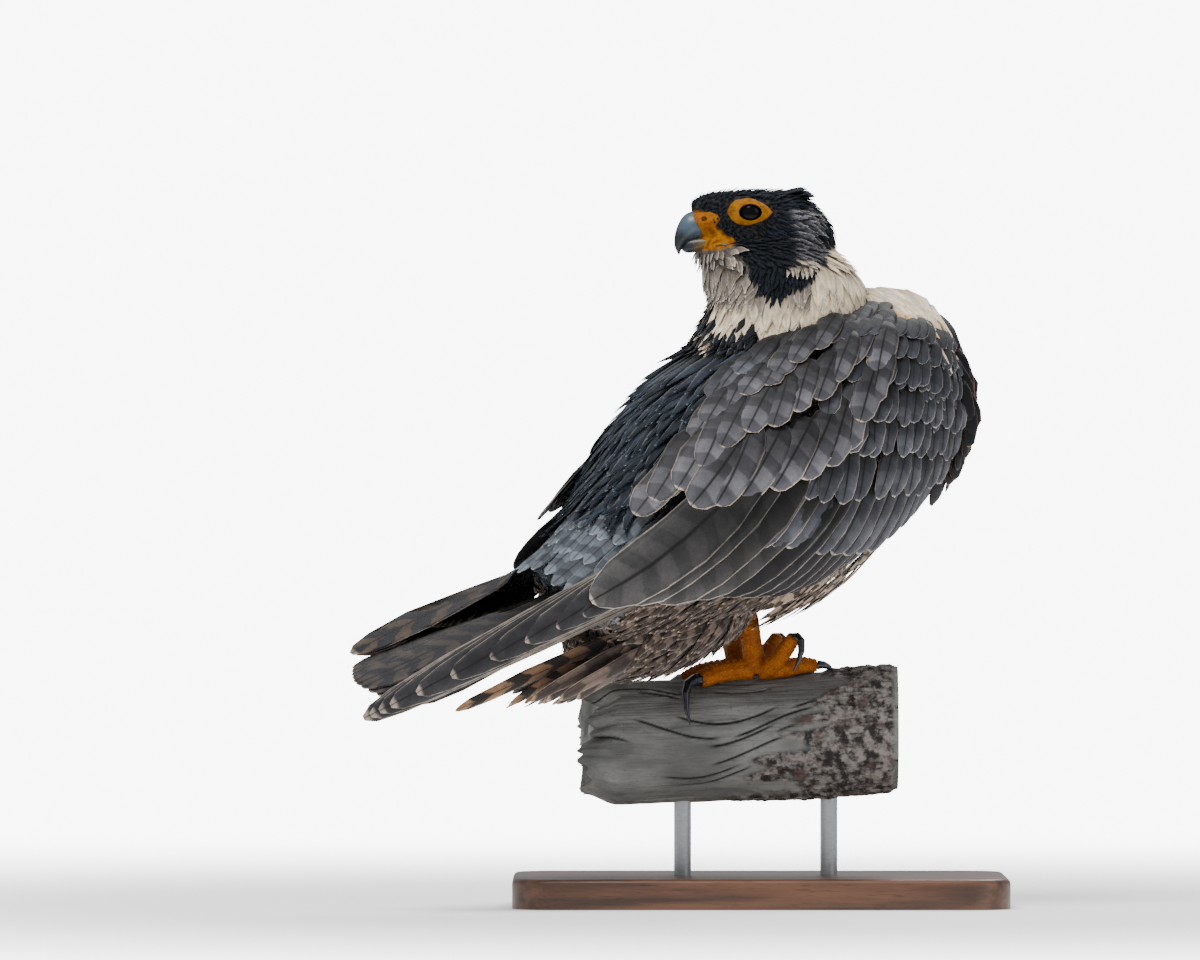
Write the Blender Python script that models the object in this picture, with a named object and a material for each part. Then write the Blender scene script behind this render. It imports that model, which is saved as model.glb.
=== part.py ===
"""A life-size peregrine falcon, perched on a cut length of dead limb and looking back over its shoulder.

Run with blender --background --python part.py. Units are metres and +Z is up.

Two frames are used. The row frame has its origin at the middle of the base's underside, +X along the limb
and +Y away from the viewer. The bird frame is the row frame turned about Z by BODY_YAW, so that its +X is the
way the breast faces, +Y is the bird's left and y = 0 is the middle of the body.

The body is laid out on one chart, coat_point(s, angle, lift). s runs in metres from the breast along a bent
line to the end of the tail, angle goes round the body in degrees from the middle of the back, positive on the
bird's right, and lift is the height above the body's surface. Torso, wings, tail and every flight feather are
placed on that chart, so that they keep together when a size changes.
"""

import math

import bmesh
import bpy
from mathutils import Matrix, Vector

MM = 0.001
GAP = 0.3 * MM

BODY_YAW = math.radians(32)
RIGHT = 1
LEFT = -1

# The bent line of the body, from the breast to the end of the tail: forward, up, half width, half depth to
# the back, half depth to the belly, and roll towards the bird's right. All but the roll are in mm.
BODY_LINE = (
    (88, 272, 12, 8, 10, 0),
    (76, 265, 34, 26, 32, 0),
    (57, 251, 49, 42, 50, 0),
    (33, 231, 58, 54, 56, 0),
    (2, 202, 60, 58, 56, 0),
    (-34, 175, 54, 52, 46, 2),
    (-72, 155, 42, 37, 31, 6),
    (-108, 142, 31, 20, 20, 12),
    (-145, 129, 27, 10, 11, 18),
    (-182, 115, 27, 7, 7, 22),
    (-219, 101, 29, 5, 5, 25),
)
TORSO_START, TORSO_END = 0.004, 0.232
TORSO_RINGS, TORSO_SIDES = 14, 20
MANTLE_LIFT = 8 * MM

# Head: its middle in the bird frame, and how far it is turned from the way the body faces.
HEAD_CENTRE = Vector((-0.0002, -0.0046, 0.3150))
HEAD_TURN = math.radians(180 + 12) - BODY_YAW

# An eye: its middle in the head frame on the left, its radius, how far it looks ahead of straight sideways,
# and how far round from its pole it is modelled.
EYE_CENTRE = Vector((8.8, 10.2, 6.7)) * MM
EYE_RADIUS = 7.7 * MM
EYE_AHEAD = math.radians(16)
EYE_REACH = math.radians(92)

# Lids: half length and half height of the opening, and the outer edge of the bare ring in mm at even steps
# round the eye, from the front upwards.
LID_OPENING = (5.4, 3.85)
LID_EDGE = (11.0, 10.0, 7.4, 6.6, 6.3, 7.3, 10.3, 7.0, 5.6, 5.7, 6.8, 8.9)

# Limb: radius, and height of its middle at X = 0 with its rise along X.
LIMB_RADIUS = 28.4 * MM
LIMB_HEIGHT = 78.4 * MM
LIMB_RISE = 0.055
LIMB_START, LIMB_END = -0.081, 0.064

BASE_LENGTH, BASE_DEPTH, BASE_HEIGHT = 0.230, 0.140, 0.014
BASE_CORNER, BASE_BEVEL = 0.020, 0.0025
ROD_RADIUS = 4.0 * MM
ROD_PLACES = (-0.036, 0.032)

VANE_THICKNESS = 0.55 * MM


def clear_scene():
    for obj in list(bpy.data.objects):
        bpy.data.objects.remove(obj)


def finish(name, colour, roughness, metallic=0.0):
    """A Principled material of one plain colour, given as linear red, green and blue."""
    made = bpy.data.materials.new(name)
    made.use_nodes = True
    shader = made.node_tree.nodes["Principled BSDF"]
    shader.inputs["Base Color"].default_value = (*colour, 1)
    shader.inputs["Roughness"].default_value = roughness
    shader.inputs["Metallic"].default_value = metallic
    return made


def empty(name, place, turn, parent=None):
    made = bpy.data.objects.new(name, None)
    bpy.context.scene.collection.objects.link(made)
    made.location = place
    made.rotation_euler = (0, 0, turn)
    made.parent = parent
    return made


def add_object(name, mesh, parent, material):
    obj = bpy.data.objects.new(name, mesh)
    bpy.context.scene.collection.objects.link(obj)
    obj.parent = parent
    if material:
        mesh.materials.append(material)
    return obj


def curve_through(rows, at):
    """The value at each place in at, from 0 to 1, of a smooth line through rows, which are evenly spaced."""
    last = len(rows) - 1
    found = []
    for share in at:
        place = min(max(share, 0.0), 1.0) * last
        i = min(int(place), last - 1)
        t = place - i
        before, start, end, after = (rows[min(max(i + k, 0), last)] for k in (-1, 0, 1, 2))
        found.append(
            [
                b + 0.5 * t * (c - a + t * (2 * a - 5 * b + 4 * c - d + t * (3 * (b - c) + d - a)))
                for a, b, c, d in zip(before, start, end, after)
            ]
        )
    return found


def steps(count, start=0.0, end=1.0):
    return [start + (end - start) * i / (count - 1) for i in range(count)]


def line_lengths():
    """How far along the body line each of its points lies, in metres."""
    lengths = [0.0]
    for one, two in zip(BODY_LINE, BODY_LINE[1:]):
        lengths.append(lengths[-1] + MM * math.hypot(two[0] - one[0], two[1] - one[1]))
    return lengths


LENGTHS = line_lengths()
BODY_LENGTH = LENGTHS[-1]


def body_section(s):
    """The body line's row at s, with a slope that runs smoothly from point to point."""
    s = min(max(s, 0.0), BODY_LENGTH)
    i = max(k for k in range(len(LENGTHS) - 1) if LENGTHS[k] <= s)
    span = LENGTHS[i + 1] - LENGTHS[i]
    t = (s - LENGTHS[i]) / span

    def slope(k, column):
        low, high = max(k - 1, 0), min(k + 1, len(LENGTHS) - 1)
        return (BODY_LINE[high][column] - BODY_LINE[low][column]) / (LENGTHS[high] - LENGTHS[low]) * span

    row = []
    for column in range(6):
        start, end = BODY_LINE[i][column], BODY_LINE[i + 1][column]
        row.append(
            (2 * t**3 - 3 * t**2 + 1) * start
            + (t**3 - 2 * t**2 + t) * slope(i, column)
            + (3 * t**2 - 2 * t**3) * end
            + (t**3 - t**2) * slope(i + 1, column)
        )
    return row


def coat_frame(s, angle):
    """(surface point, outward direction) of the body at s and angle, in the bird frame."""
    forward, up, width, back, belly, roll = body_section(s)
    ahead, behind = body_section(s + MM), body_section(s - MM)
    along = Vector((ahead[0] - behind[0], 0, ahead[1] - behind[1])).normalized()
    upward = Vector((along.z, 0, -along.x))
    turn, roll = math.radians(angle), math.radians(roll)
    depth = back if math.cos(turn) > 0 else belly
    rise, side = depth * math.cos(turn), width * math.sin(turn)
    lean_rise, lean_side = math.cos(turn) / depth, math.sin(turn) / width
    lean = math.hypot(lean_rise, lean_side)

    def place(rise, side):
        rolled_rise = rise * math.cos(roll) - side * math.sin(roll)
        rolled_side = side * math.cos(roll) + rise * math.sin(roll)
        return upward * rolled_rise + Vector((0, -rolled_side, 0))

    return (
        Vector((forward, 0, up)) * MM + place(rise, side) * MM,
        place(lean_rise / lean, lean_side / lean),
    )


def coat_point(s, angle, lift=0.0):
    point, outward = coat_frame(s, angle)
    return point + outward * lift


def skin_mesh(name, rings, closed_ends=True):
    """A closed mesh of triangles over rings of equally many points, capped by a fan at each end."""
    form = bmesh.new()
    made = [[form.verts.new(p) for p in ring] for ring in rings]
    sides = len(rings[0])
    for one, two in zip(made, made[1:]):
        for i in range(sides):
            j = (i + 1) % sides
            form.faces.new((one[i], one[j], two[j]))
            form.faces.new((one[i], two[j], two[i]))
    if closed_ends:
        for ring, turned in ((made[0], True), (made[-1], False)):
            middle = form.verts.new(sum((v.co for v in ring), Vector()) / sides)
            for i in range(sides):
                j = (i + 1) % sides
                form.faces.new((ring[j], ring[i], middle) if turned else (ring[i], ring[j], middle))
    else:
        for i in range(sides):
            j = (i + 1) % sides
            form.faces.new((made[-1][i], made[-1][j], made[0][j]))
            form.faces.new((made[-1][i], made[0][j], made[0][i]))
    bmesh.ops.recalc_face_normals(form, faces=form.faces)
    mesh = bpy.data.meshes.new(name)
    form.to_mesh(mesh)
    form.free()
    mesh.shade_smooth()
    return mesh


def tube(name, path, radii, sides, count, flatten=1.0):
    """A round tube along a smooth path, with its radius read from radii, and flattened in height."""
    points = [Vector(p) for p in curve_through(path, steps(count))]
    sizes = [r[0] for r in curve_through([(r,) for r in radii], steps(count))]
    rings = []
    across = None
    for k, (point, radius) in enumerate(zip(points, sizes)):
        along = (points[min(k + 1, count - 1)] - points[max(k - 1, 0)]).normalized()
        if across is None:
            guide = Vector((0, 0, 1)) if abs(along.z) < 0.8 else Vector((1, 0, 0))
            across = along.cross(guide).normalized()
        across = (across - along * across.dot(along)).normalized()
        lift = across.cross(along)
        rings.append(
            [
                point + radius * (across * math.cos(a) + lift * (flatten * math.sin(a)))
                for a in (2 * math.pi * i / sides for i in range(sides))
            ]
        )
    return skin_mesh(name, rings)


def loft(name, stations, sides, count, power=2.0):
    """A closed form over upright sections at x: rows of x, middle height, half width, rise and drop."""
    rings = []
    for x, middle, width, rise, drop in curve_through(stations, steps(count)):
        ring = []
        for i in range(sides):
            angle = 2 * math.pi * i / sides
            across, height = math.cos(angle), math.sin(angle)
            reach = (abs(across) ** power + abs(height) ** power) ** (-1 / power)
            depth = rise if height > 0 else drop
            ring.append(Vector((x, width * across * reach, middle + depth * height * reach)) * MM)
        rings.append(ring)
    return skin_mesh(name, rings)


def vane_mesh(name, points, outwards, width, shape, tilt=0.0, camber=0.05, thickness=VANE_THICKNESS):
    """One feather: a thin plate along points, split alike on both faces.

    shape is the share of width at each point, tilt in degrees lifts the edge on the left of the way it grows,
    and camber bows it across, as a share of its width.
    """
    rings = []
    count = len(points)
    for k, (point, outward) in enumerate(zip(points, outwards)):
        along = (points[min(k + 1, count - 1)] - points[max(k - 1, 0)]).normalized()
        across = outward.cross(along).normalized()
        outward = along.cross(across)
        lean = math.radians(tilt)
        side = across * math.cos(lean) + outward * math.sin(lean)
        up = outward * math.cos(lean) - across * math.sin(lean)
        half = width * shape[k] / 2
        crown = point + up * (camber * width)
        rings.append(
            [
                point + side * half + up * (thickness / 2),
                crown + up * (thickness / 2),
                point - side * half + up * (thickness / 2),
                point - side * half - up * (thickness / 2),
                crown - up * (thickness / 2),
                point + side * half - up * (thickness / 2),
            ]
        )
    form = bmesh.new()
    made = [[form.verts.new(p) for p in ring] for ring in rings]
    for one, two in zip(made, made[1:]):
        for i, j in ((0, 1), (1, 2), (2, 3), (5, 0)):
            form.faces.new((one[i], one[j], two[j]))
            form.faces.new((one[i], two[j], two[i]))
        for i, j in ((3, 4), (4, 5)):
            form.faces.new((one[i], one[j], two[i]))
            form.faces.new((one[j], two[j], two[i]))
    for ring in (made[0], made[-1]):
        form.faces.new((ring[0], ring[1], ring[4]))
        form.faces.new((ring[0], ring[4], ring[5]))
        form.faces.new((ring[1], ring[2], ring[3]))
        form.faces.new((ring[1], ring[3], ring[4]))
    bmesh.ops.recalc_face_normals(form, faces=form.faces)
    mesh = bpy.data.meshes.new(name)
    form.to_mesh(mesh)
    form.free()
    return mesh


# Where a feather's width is read along it, and the share of its width there.
VANE_STEPS = (0.0, 0.45, 0.85, 1.0)
BROAD = (0.6, 1.0, 0.9, 0.3)
POINTED = (0.6, 1.0, 0.62, 0.14)


def coat_vane(side, root, tip, width, shape, tilt=0.0, camber=0.05):
    """A wing feather laid on the body's chart, straight wherever the body falls away beneath it.

    root and tip are (s, angle, lift) with s and lift in mm.
    """
    start, end = (coat_point(s * MM, wing_angle(side, s, angle), lift * MM) for s, angle, lift in (root, tip))
    points, outwards = [], []
    for t in VANE_STEPS:
        s, angle, lift = (a + (b - a) * t for a, b in zip(root, tip))
        point, outward = coat_frame(s * MM, wing_angle(side, s, angle))
        point += outward * lift * MM
        bridged = (start.lerp(end, t) - point).dot(outward)
        points.append(point + outward * max(bridged, 0))
        outwards.append(outward)
    return vane_mesh("vane", points, outwards, width * MM, shape, tilt * side, camber)


def free_vane(root, middle, tip, face_root, face_tip, width, shape=POINTED, tilt=0.0, camber=0.05):
    """A long feather along the arc through root, middle and tip, in the bird frame."""
    points, outwards = [], []
    for t in VANE_STEPS:
        control = middle * 2 - (root + tip) / 2
        points.append(root * (1 - t) ** 2 + control * (2 * t * (1 - t)) + tip * t**2)
        outwards.append((face_root * (1 - t) + face_tip * t).normalized())
    return vane_mesh("vane", points, outwards, width * MM, shape, tilt, camber)


def row_between(rows, count):
    """count rows spread evenly along the smooth line through rows."""
    return curve_through(rows, steps(count))


def evaluated_mesh(obj):
    graph = bpy.context.evaluated_depsgraph_get()
    mesh = bpy.data.meshes.new_from_object(obj.evaluated_get(graph))
    material = obj.data.materials[0]
    mesh.materials.clear()
    mesh.materials.append(material)
    mesh.polygons.foreach_set("material_index", [0] * len(mesh.polygons))
    return mesh


def keep_largest(mesh):
    """Leaves only the largest closed surface of a mesh, in triangles."""
    form = bmesh.new()
    form.from_mesh(mesh)
    unseen = set(form.faces)
    largest, most = [], -1.0
    while unseen:
        island, edge = [], [unseen.pop()]
        while edge:
            face = edge.pop()
            island.append(face)
            for near in {f for e in face.edges for f in e.link_faces} & unseen:
                unseen.discard(near)
                edge.append(near)
        area = sum(f.calc_area() for f in island)
        if area > most:
            largest, most = island, area
    kept = set(largest)
    bmesh.ops.delete(form, geom=[f for f in form.faces if f not in kept], context="FACES")
    bmesh.ops.triangulate(form, faces=form.faces)
    form.to_mesh(mesh)
    form.free()
    mesh.shade_smooth()
    mesh.set_sharp_from_angle(angle=math.radians(38))


def combine(obj, others, operation):
    """Applies one Boolean with a collection of closed meshes, then removes the collection's objects."""
    group = bpy.data.collections.new("pieces")
    bpy.context.scene.collection.children.link(group)
    for other in others:
        for holder in list(other.users_collection):
            holder.objects.unlink(other)
        group.objects.link(other)
    change = obj.modifiers.new("combine", "BOOLEAN")
    change.operation = operation
    change.operand_type = "COLLECTION"
    change.collection = group
    change.solver = "MANIFOLD"
    bpy.context.view_layer.update()
    mesh = evaluated_mesh(obj)
    obj.modifiers.clear()
    obj.data = mesh
    for other in others:
        bpy.data.objects.remove(other)
    bpy.data.collections.remove(group)
    keep_largest(mesh)
    return obj


def fuse(obj, meshes):
    return combine(obj, [add_object("piece", mesh, obj.parent, None) for mesh in meshes], "UNION")


def grown_copy(obj, gap):
    """A copy of a solid with its surface moved out by gap."""
    form = bmesh.new()
    form.from_mesh(obj.data)
    form.normal_update()
    moves = [(v, v.normal * (gap * min(v.calc_shell_factor(), 2.5))) for v in form.verts]
    for vert, move in moves:
        vert.co += move
    bmesh.ops.triangulate(form, faces=form.faces)
    mesh = bpy.data.meshes.new("grown")
    form.to_mesh(mesh)
    form.free()
    return add_object("grown", mesh, obj.parent, None)


def fit_round(obj, *others, gap=GAP):
    """Cuts obj clear of the others by gap, so that they meet face to face."""
    for other in others:
        combine(obj, [grown_copy(other, gap)], "DIFFERENCE")
    return obj


def ramp(value, start, end):
    """0 before start and 1 after end, smooth between them; start may be the larger."""
    share = min(max((value - start) / (end - start), 0.0), 1.0)
    return share * share * (3 - 2 * share)


def mantle_lift(s, angle):
    """How much the loose feathers of the mantle and back stand above the body, between the wings."""
    length = ramp(s, 0.040, 0.080) * (1 - 0.75 * ramp(s, 0.160, 0.215))
    around = ramp(angle, -80, -48) * ramp(angle, 46, 20)
    return MANTLE_LIFT * length * around


def make_torso(bird, feathers):
    rings = []
    for s in steps(TORSO_RINGS, TORSO_START, TORSO_END):
        angles = [360 * i / TORSO_SIDES - 180 for i in range(TORSO_SIDES)]
        rings.append([coat_point(s, a, mantle_lift(s, a)) for a in angles])
    return add_object("torso", skin_mesh("torso", rings), bird, feathers)


def make_neck(feathers):
    """The short, ruffled neck: level rings of height, middle along X and Y, and half widths along X and Y."""
    rows = (
        (250, 18, 0, 48, 40),
        (260, 14, 0, 47, 41),
        (270, 13, 0, 41.5, 39),
        (280, 13.5, -2, 38, 37),
        (288, 11.3, -3, 38, 35),
        (295, 8.2, -4, 36.2, 32),
        (302, 2.8, -4, 33.4, 28),
        (308, -1.5, -3.5, 30, 23),
    )
    rings = []
    for height, x, y, wide, deep in curve_through(rows, steps(8)):
        angles = [2 * math.pi * i / 20 for i in range(20)]
        rings.append([Vector((x + wide * math.cos(a), y + deep * math.sin(a), height)) * MM for a in angles])
    return add_object("neck", skin_mesh("neck", rings), None, feathers)


def make_head(head, feathers):
    """The head, with its flat crown and the ruffled tuft of crown feathers behind it."""
    stations = (
        (36.0, 10.5, 3.0, 2.6, 1.6),
        (32.0, 5.0, 6.2, 10.4, 14.0),
        (26.0, 2.0, 8.8, 15.4, 17.5),
        (18.0, 0.5, 13.6, 17.6, 19.5),
        (9.0, 0.0, 17.0, 18.2, 21.0),
        (0.0, 0.0, 19.3, 18.2, 22.0),
        (-10.0, -0.5, 20.8, 18.2, 22.5),
        (-19.0, -2.0, 19.4, 16.8, 21.0),
        (-26.0, -4.0, 15.6, 12.6, 18.0),
        (-30.8, -5.0, 10.4, 8.0, 13.0),
        (-33.2, -5.0, 4.0, 3.0, 6.0),
    )
    obj = add_object("head", loft("head", stations, 16, 10, 2.2), head, feathers)
    tuft = []
    for k in range(5):
        y = (k - 2) * 5.0
        droop = 0.35 * abs(k - 2)
        root = Vector((-3, y * 0.8, 13.4 - droop)) * MM
        middle = Vector((-12, y * 0.95, 16.9 - droop)) * MM
        tip = Vector((-20.5 + 0.9 * abs(k - 2), y * 1.1, 19.2 - 2 * droop)) * MM
        up = Vector((0.1, 0.05 * (k - 2), 1)).normalized()
        tuft.append(free_vane(root, middle, tip, up, up, 8.5, BROAD, 0, 0.12))
    return fuse(obj, tuft)


def make_bill(head, horn, cere_skin):
    """Cere with its nostrils, upper bill with its hook, and lower bill."""
    start = Vector((33.6, 0, 0.85)) * MM
    cere_path = ((0.0195, 0, 0.0036), (0.024, 0, 0.0034), (0.029, 0, 0.0025), start)
    cere_radii = (0.0094, 0.0090, 0.0080, 0.0070)
    cere = add_object("cere", tube("cere", cere_path, cere_radii, 14, 5, 0.84), head, cere_skin)
    path = (
        start,
        Vector((36.3, 0, -1.1)) * MM,
        Vector((39.1, 0, -4.2)) * MM,
        Vector((41.0, 0, -7.9)) * MM,
        Vector((40.9, 0, -12.5)) * MM,
    )
    radii = (0.0069, 0.0060, 0.0042, 0.0022, 0.0004)
    upper = add_object("bill_upper", tube("bill_upper", path, radii, 14, 8, 0.84), head, horn)
    lower_rows = (
        (17, -7.0, 7.8, 2.2, 2.4),
        (24, -7.3, 6.6, 2.4, 2.8),
        (30, -7.7, 5.3, 2.4, 2.7),
        (34.5, -9.0, 3.8, 2.1, 2.8),
        (37.5, -10.0, 2.3, 1.2, 1.6),
        (39, -10.0, 0.9, 0.4, 0.6),
    )
    lower = add_object("bill_lower", loft("bill_lower", lower_rows, 10, 7), head, horn)
    nostrils = []
    for side in (RIGHT, LEFT):
        place = Vector((0.0300, side * 0.0056, 0.0036))
        line = [place + Vector((0.0006, side * 0.0018, 0.0003)) * k for k in range(3)]
        nostrils.append(add_object("nostril", tube("nostril", line, [0.0013] * 3, 8, 3), head, None))
    combine(cere, nostrils, "DIFFERENCE")
    fit_round(cere, upper)
    fit_round(lower, upper, cere)
    return cere, upper, lower


def make_eye(head, side, eye_gloss, lid_skin):
    """An eye, and the bare ring of lids round it, which follows the eye and is drawn out front and back."""
    name = "right" if side == RIGHT else "left"
    middle = Vector((EYE_CENTRE.x, -side * EYE_CENTRE.y, EYE_CENTRE.z))
    axis = Vector((math.sin(EYE_AHEAD), -side * math.cos(EYE_AHEAD), 0))
    forward = Vector((math.cos(EYE_AHEAD), side * math.sin(EYE_AHEAD), 0))
    upward = Vector((0, 0, 1))

    def placed(radius, angle, out):
        return middle + (forward * math.cos(angle) + upward * math.sin(angle)) * radius + axis * out

    rings = []
    for turn in steps(6, math.radians(12), EYE_REACH):
        radius, out = EYE_RADIUS * math.sin(turn), EYE_RADIUS * math.cos(turn)
        rings.append([placed(radius, 2 * math.pi * i / 14, out) for i in range(14)])
    eye = add_object("eye_" + name, skin_mesh("eye", rings), head, eye_gloss)

    rings = []
    long, high = (reach * MM for reach in LID_OPENING)
    for i in range(18):
        angle = 2 * math.pi * i / 18
        place = i * len(LID_EDGE) / 18
        low = int(place)
        edge = (LID_EDGE[low] + (LID_EDGE[(low + 1) % len(LID_EDGE)] - LID_EDGE[low]) * (place - low)) * MM
        inner = long * high / math.hypot(high * math.cos(angle), long * math.sin(angle))
        inner_low = math.sqrt(EYE_RADIUS**2 - inner**2) + 0.55 * MM
        eye_side = math.sqrt(max(EYE_RADIUS**2 - edge**2, 0)) + 0.8 * MM
        edge_high = max((5.5 - 0.3 * math.cos(angle) - 0.9 * math.sin(angle)) * MM, eye_side + 0.9 * MM)
        ring = ((inner, inner_low + 1.0 * MM), (edge, edge_high), (edge, max(edge_high - 1.6 * MM, eye_side)))
        rings.append([placed(radius, angle, out) for radius, out in (*ring, (inner, inner_low))])
    lid = add_object("lids_" + name, skin_mesh("lids", rings, closed_ends=False), head, lid_skin)
    return eye, lid


def make_thigh(bird, side, feathers):
    """The feathered leg, down to where the bare tarsus leaves it."""
    y = -side
    path = (
        (0.010, y * 0.028, 0.172),
        (0.000, y * 0.023, 0.160),
        (-0.008, y * 0.017, 0.149),
        (-0.013, y * 0.0125, 0.137),
    )
    name = "thigh_right" if side == RIGHT else "thigh_left"
    return add_object(name, tube(name, path, (0.024, 0.020, 0.014, 0.0075), 14, 6), bird, feathers)


def make_vent(bird, feathers):
    """The loose under-tail coverts, with the long barred ones that hang clear of the tail."""
    path = ((-0.022, 0.002, 0.150), (-0.048, 0.001, 0.136), (-0.078, -0.001, 0.124), (-0.104, -0.003, 0.116))
    obj = add_object("vent", tube("vent", path, (0.027, 0.027, 0.021, 0.009), 16, 7, 0.95), bird, feathers)
    plumes = []
    for k in range(7):
        share = k / 6
        y = -0.024 + 0.040 * share
        drop = 0.004 * math.sin(math.pi * share)
        reach = (46, 26, 12, 20, 10, 16, 6)[k] * MM
        root = Vector((-0.076, y * 0.55, 0.118 - drop))
        tip = Vector((-0.108 - reach, y * 1.1, 0.1030 - drop - 0.14 * reach))
        middle = (root + tip) / 2 + Vector((0, 0, -0.002))
        face = Vector((-0.3, -0.75 + share * 0.9, -0.6)).normalized()
        plumes.append(free_vane(root, middle, tip, face, face, 13, POINTED, 0, 0.06))
    return fuse(obj, plumes)


def make_tail(bird, feathers):
    """Eight tail feathers in a half-closed fan, rolled to the bird's right."""
    root_rings = []
    for s in steps(5, 0.196, 0.250):
        squeeze = 0.62 if s < 0.245 else 0.40
        root_rings.append(
            [coat_point(s, 360 * i / 14).lerp(coat_centre(s), 1 - squeeze) for i in range(14)]
        )
    obj = add_object("tail", skin_mesh("tail", root_rings), bird, feathers)
    fan = []
    for k in range(8):
        place = 1.28 * (k - 3.5)
        level = 2.6 - 1.15 * abs(place)
        points, outwards = [], []
        for t in VANE_STEPS:
            s = 0.214 + (BODY_LENGTH - 0.003 - 0.0012 * abs(place) ** 1.5 - 0.214) * t
            centre = coat_centre(s)
            top, up = coat_frame(s, 0)
            right = coat_frame(s, 90)[1]
            spread = place * (1.6 + 3.0 * t) * MM
            height = level * (0.55 + 0.45 * t) * MM
            points.append(centre + right * spread + up * height)
            outwards.append((up + right * (0.05 * place)).normalized())
        fan.append(vane_mesh("vane", points, outwards, 21 * MM, (0.35, 0.85, 1.0, 0.35), 0, 0.03))
    return fuse(obj, fan)


def coat_centre(s):
    row = body_section(s)
    return Vector((row[0], 0, row[1])) * MM


# Outline of the folded arm on the chart: s, angle of its upper edge, of its lower edge, thickness in mm.
WING_PLAN = (
    (8, 84, 114, 6),
    (24, 68, 138, 13),
    (50, 56, 146, 15),
    (85, 48, 128, 12.5),
    (120, 42, 108, 11.5),
    (150, 42, 84, 10.5),
    (166, 46, 66, 9),
)

# Secondaries and tertials: the places (s, angle, lift) of their roots and of their tips, from the outermost.
# The first COVERTS of them carry a covert over their roots.
ARM_FEATHERS = 7
ARM_ROOTS = ((58, 120, 7), (92, 106, 7), (124, 88, 7), (146, 66, 7), (154, 52, 7))
ARM_TIPS = ((110, 147, 6.5), (146, 138, 8.5), (185, 109, 14), (229, 84, 20.5), (252, 70, 24))
ARM_WIDTHS = (28, 33)
ARM_TILT = 8
COVERTS = 5
COVERT_REACH = (0.74, 0.66)
COVERT_LIFT = 1.35

# Inner tertial and scapulars, as pairs of root and tip.
SCAPULARS = 5
SCAPULAR_ROOTS = ((60, 72, 9), (84, 64, 8.5), (110, 54, 8), (134, 47, 7.5))
SCAPULAR_TIPS = ((112, 84, 14.5), (142, 77, 13.8), (173, 62, 13.5), (214, 45, 17))

# Small coverts that stand out along the wing's bend.
BEND_COVERTS = 3
BEND_ROOTS = ((16, 112, 8), (38, 122, 11), (60, 128, 9))
BEND_TIPS = ((30, 138, 14), (56, 147, 15), (84, 151, 10))

# The left wing is held a little lower round the body than the right one behind the shoulder, in degrees.
LEFT_WING_DROP = 12


def plan_at(rows, s):
    """A row of the wing's plan at s, which is in mm."""
    for one, two in zip(rows, rows[1:]):
        if s <= two[0]:
            t = max(0.0, (s - one[0]) / (two[0] - one[0]))
            t = t * t * (3 - 2 * t) * 0.4 + 0.6 * t
            return [a + (b - a) * t for a, b in zip(one, two)]
    return list(rows[-1])


def wing_angle(side, s, angle):
    """The chart angle of a place on a wing, with s in mm; behind the shoulder the left wing is held lower."""
    return side * angle if side == RIGHT else side * (angle + LEFT_WING_DROP * ramp(s, 60, 200))


def wing_core(bird, side, name, feathers):
    """The folded arm with its cover of small feathers: a pad that lies on the torso's side."""
    rings = []
    for s in steps(10, WING_PLAN[0][0], WING_PLAN[-1][0]):
        _, top, bottom, thick = plan_at(WING_PLAN, s)
        outer, inner = [], []
        for share in steps(8):
            angle = wing_angle(side, s, top + (bottom - top) * share)
            round_off = math.sin(math.pi * (0.05 + 0.90 * share)) ** 0.5
            outer.append(coat_point(s * MM, angle, thick * round_off * MM))
        for share in steps(4):
            angle = wing_angle(side, s, top + (bottom - top) * share)
            inner.append(coat_point(s * MM, angle, -5.0 * MM))
        rings.append(outer + inner[::-1])
    return add_object(name, skin_mesh(name, rings), bird, feathers)


# Primaries: tip of the longest and of the shortest, in mm in the bird frame, and the way their tips face, for
# the right wing, which hangs beside the tail, and for the left, which lies on it. Then where the others lie
# between them, and how far each lies over the one before it.
PRIMARY_TIPS = {
    RIGHT: ((-234, -30, 88), (-127, -41, 134)),
    LEFT: ((-205, 26, 119), (-116, 42, 144)),
}
PRIMARY_SPACING = (0.0, 0.16, 0.38, 0.72)
PRIMARY_STEP = 1.0
PRIMARY_FACES = {RIGHT: (-0.14, -0.98, 0.10), LEFT: (0.1, -0.25, 0.96)}


def make_primaries(side):
    """The long hand feathers, from under the secondaries to beside the tail's end."""
    longest, shortest = (Vector(p) * MM for p in PRIMARY_TIPS[side])
    face_tip = Vector(PRIMARY_FACES[side]).normalized()
    made = []
    for k, share in enumerate(PRIMARY_SPACING):
        over = PRIMARY_STEP * k
        s, angle = 112 + 5 * k, 104 - 4.5 * k
        root = coat_point(s * MM, wing_angle(side, s, angle), (1.4 + over) * MM)
        tip = longest.lerp(shortest, share) + face_tip * over * MM
        middle = (root + tip) / 2 + Vector((0, -side * 1.0, 3.0)) * MM
        face_root = coat_frame(0.15, side * 98)[1]
        made.append(free_vane(root, middle, tip, face_root, face_tip, 20, POINTED, 0, 0.03))
    return made


def place_between(one, two, share):
    return [a + (b - a) * share for a, b in zip(one, two)]


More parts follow.
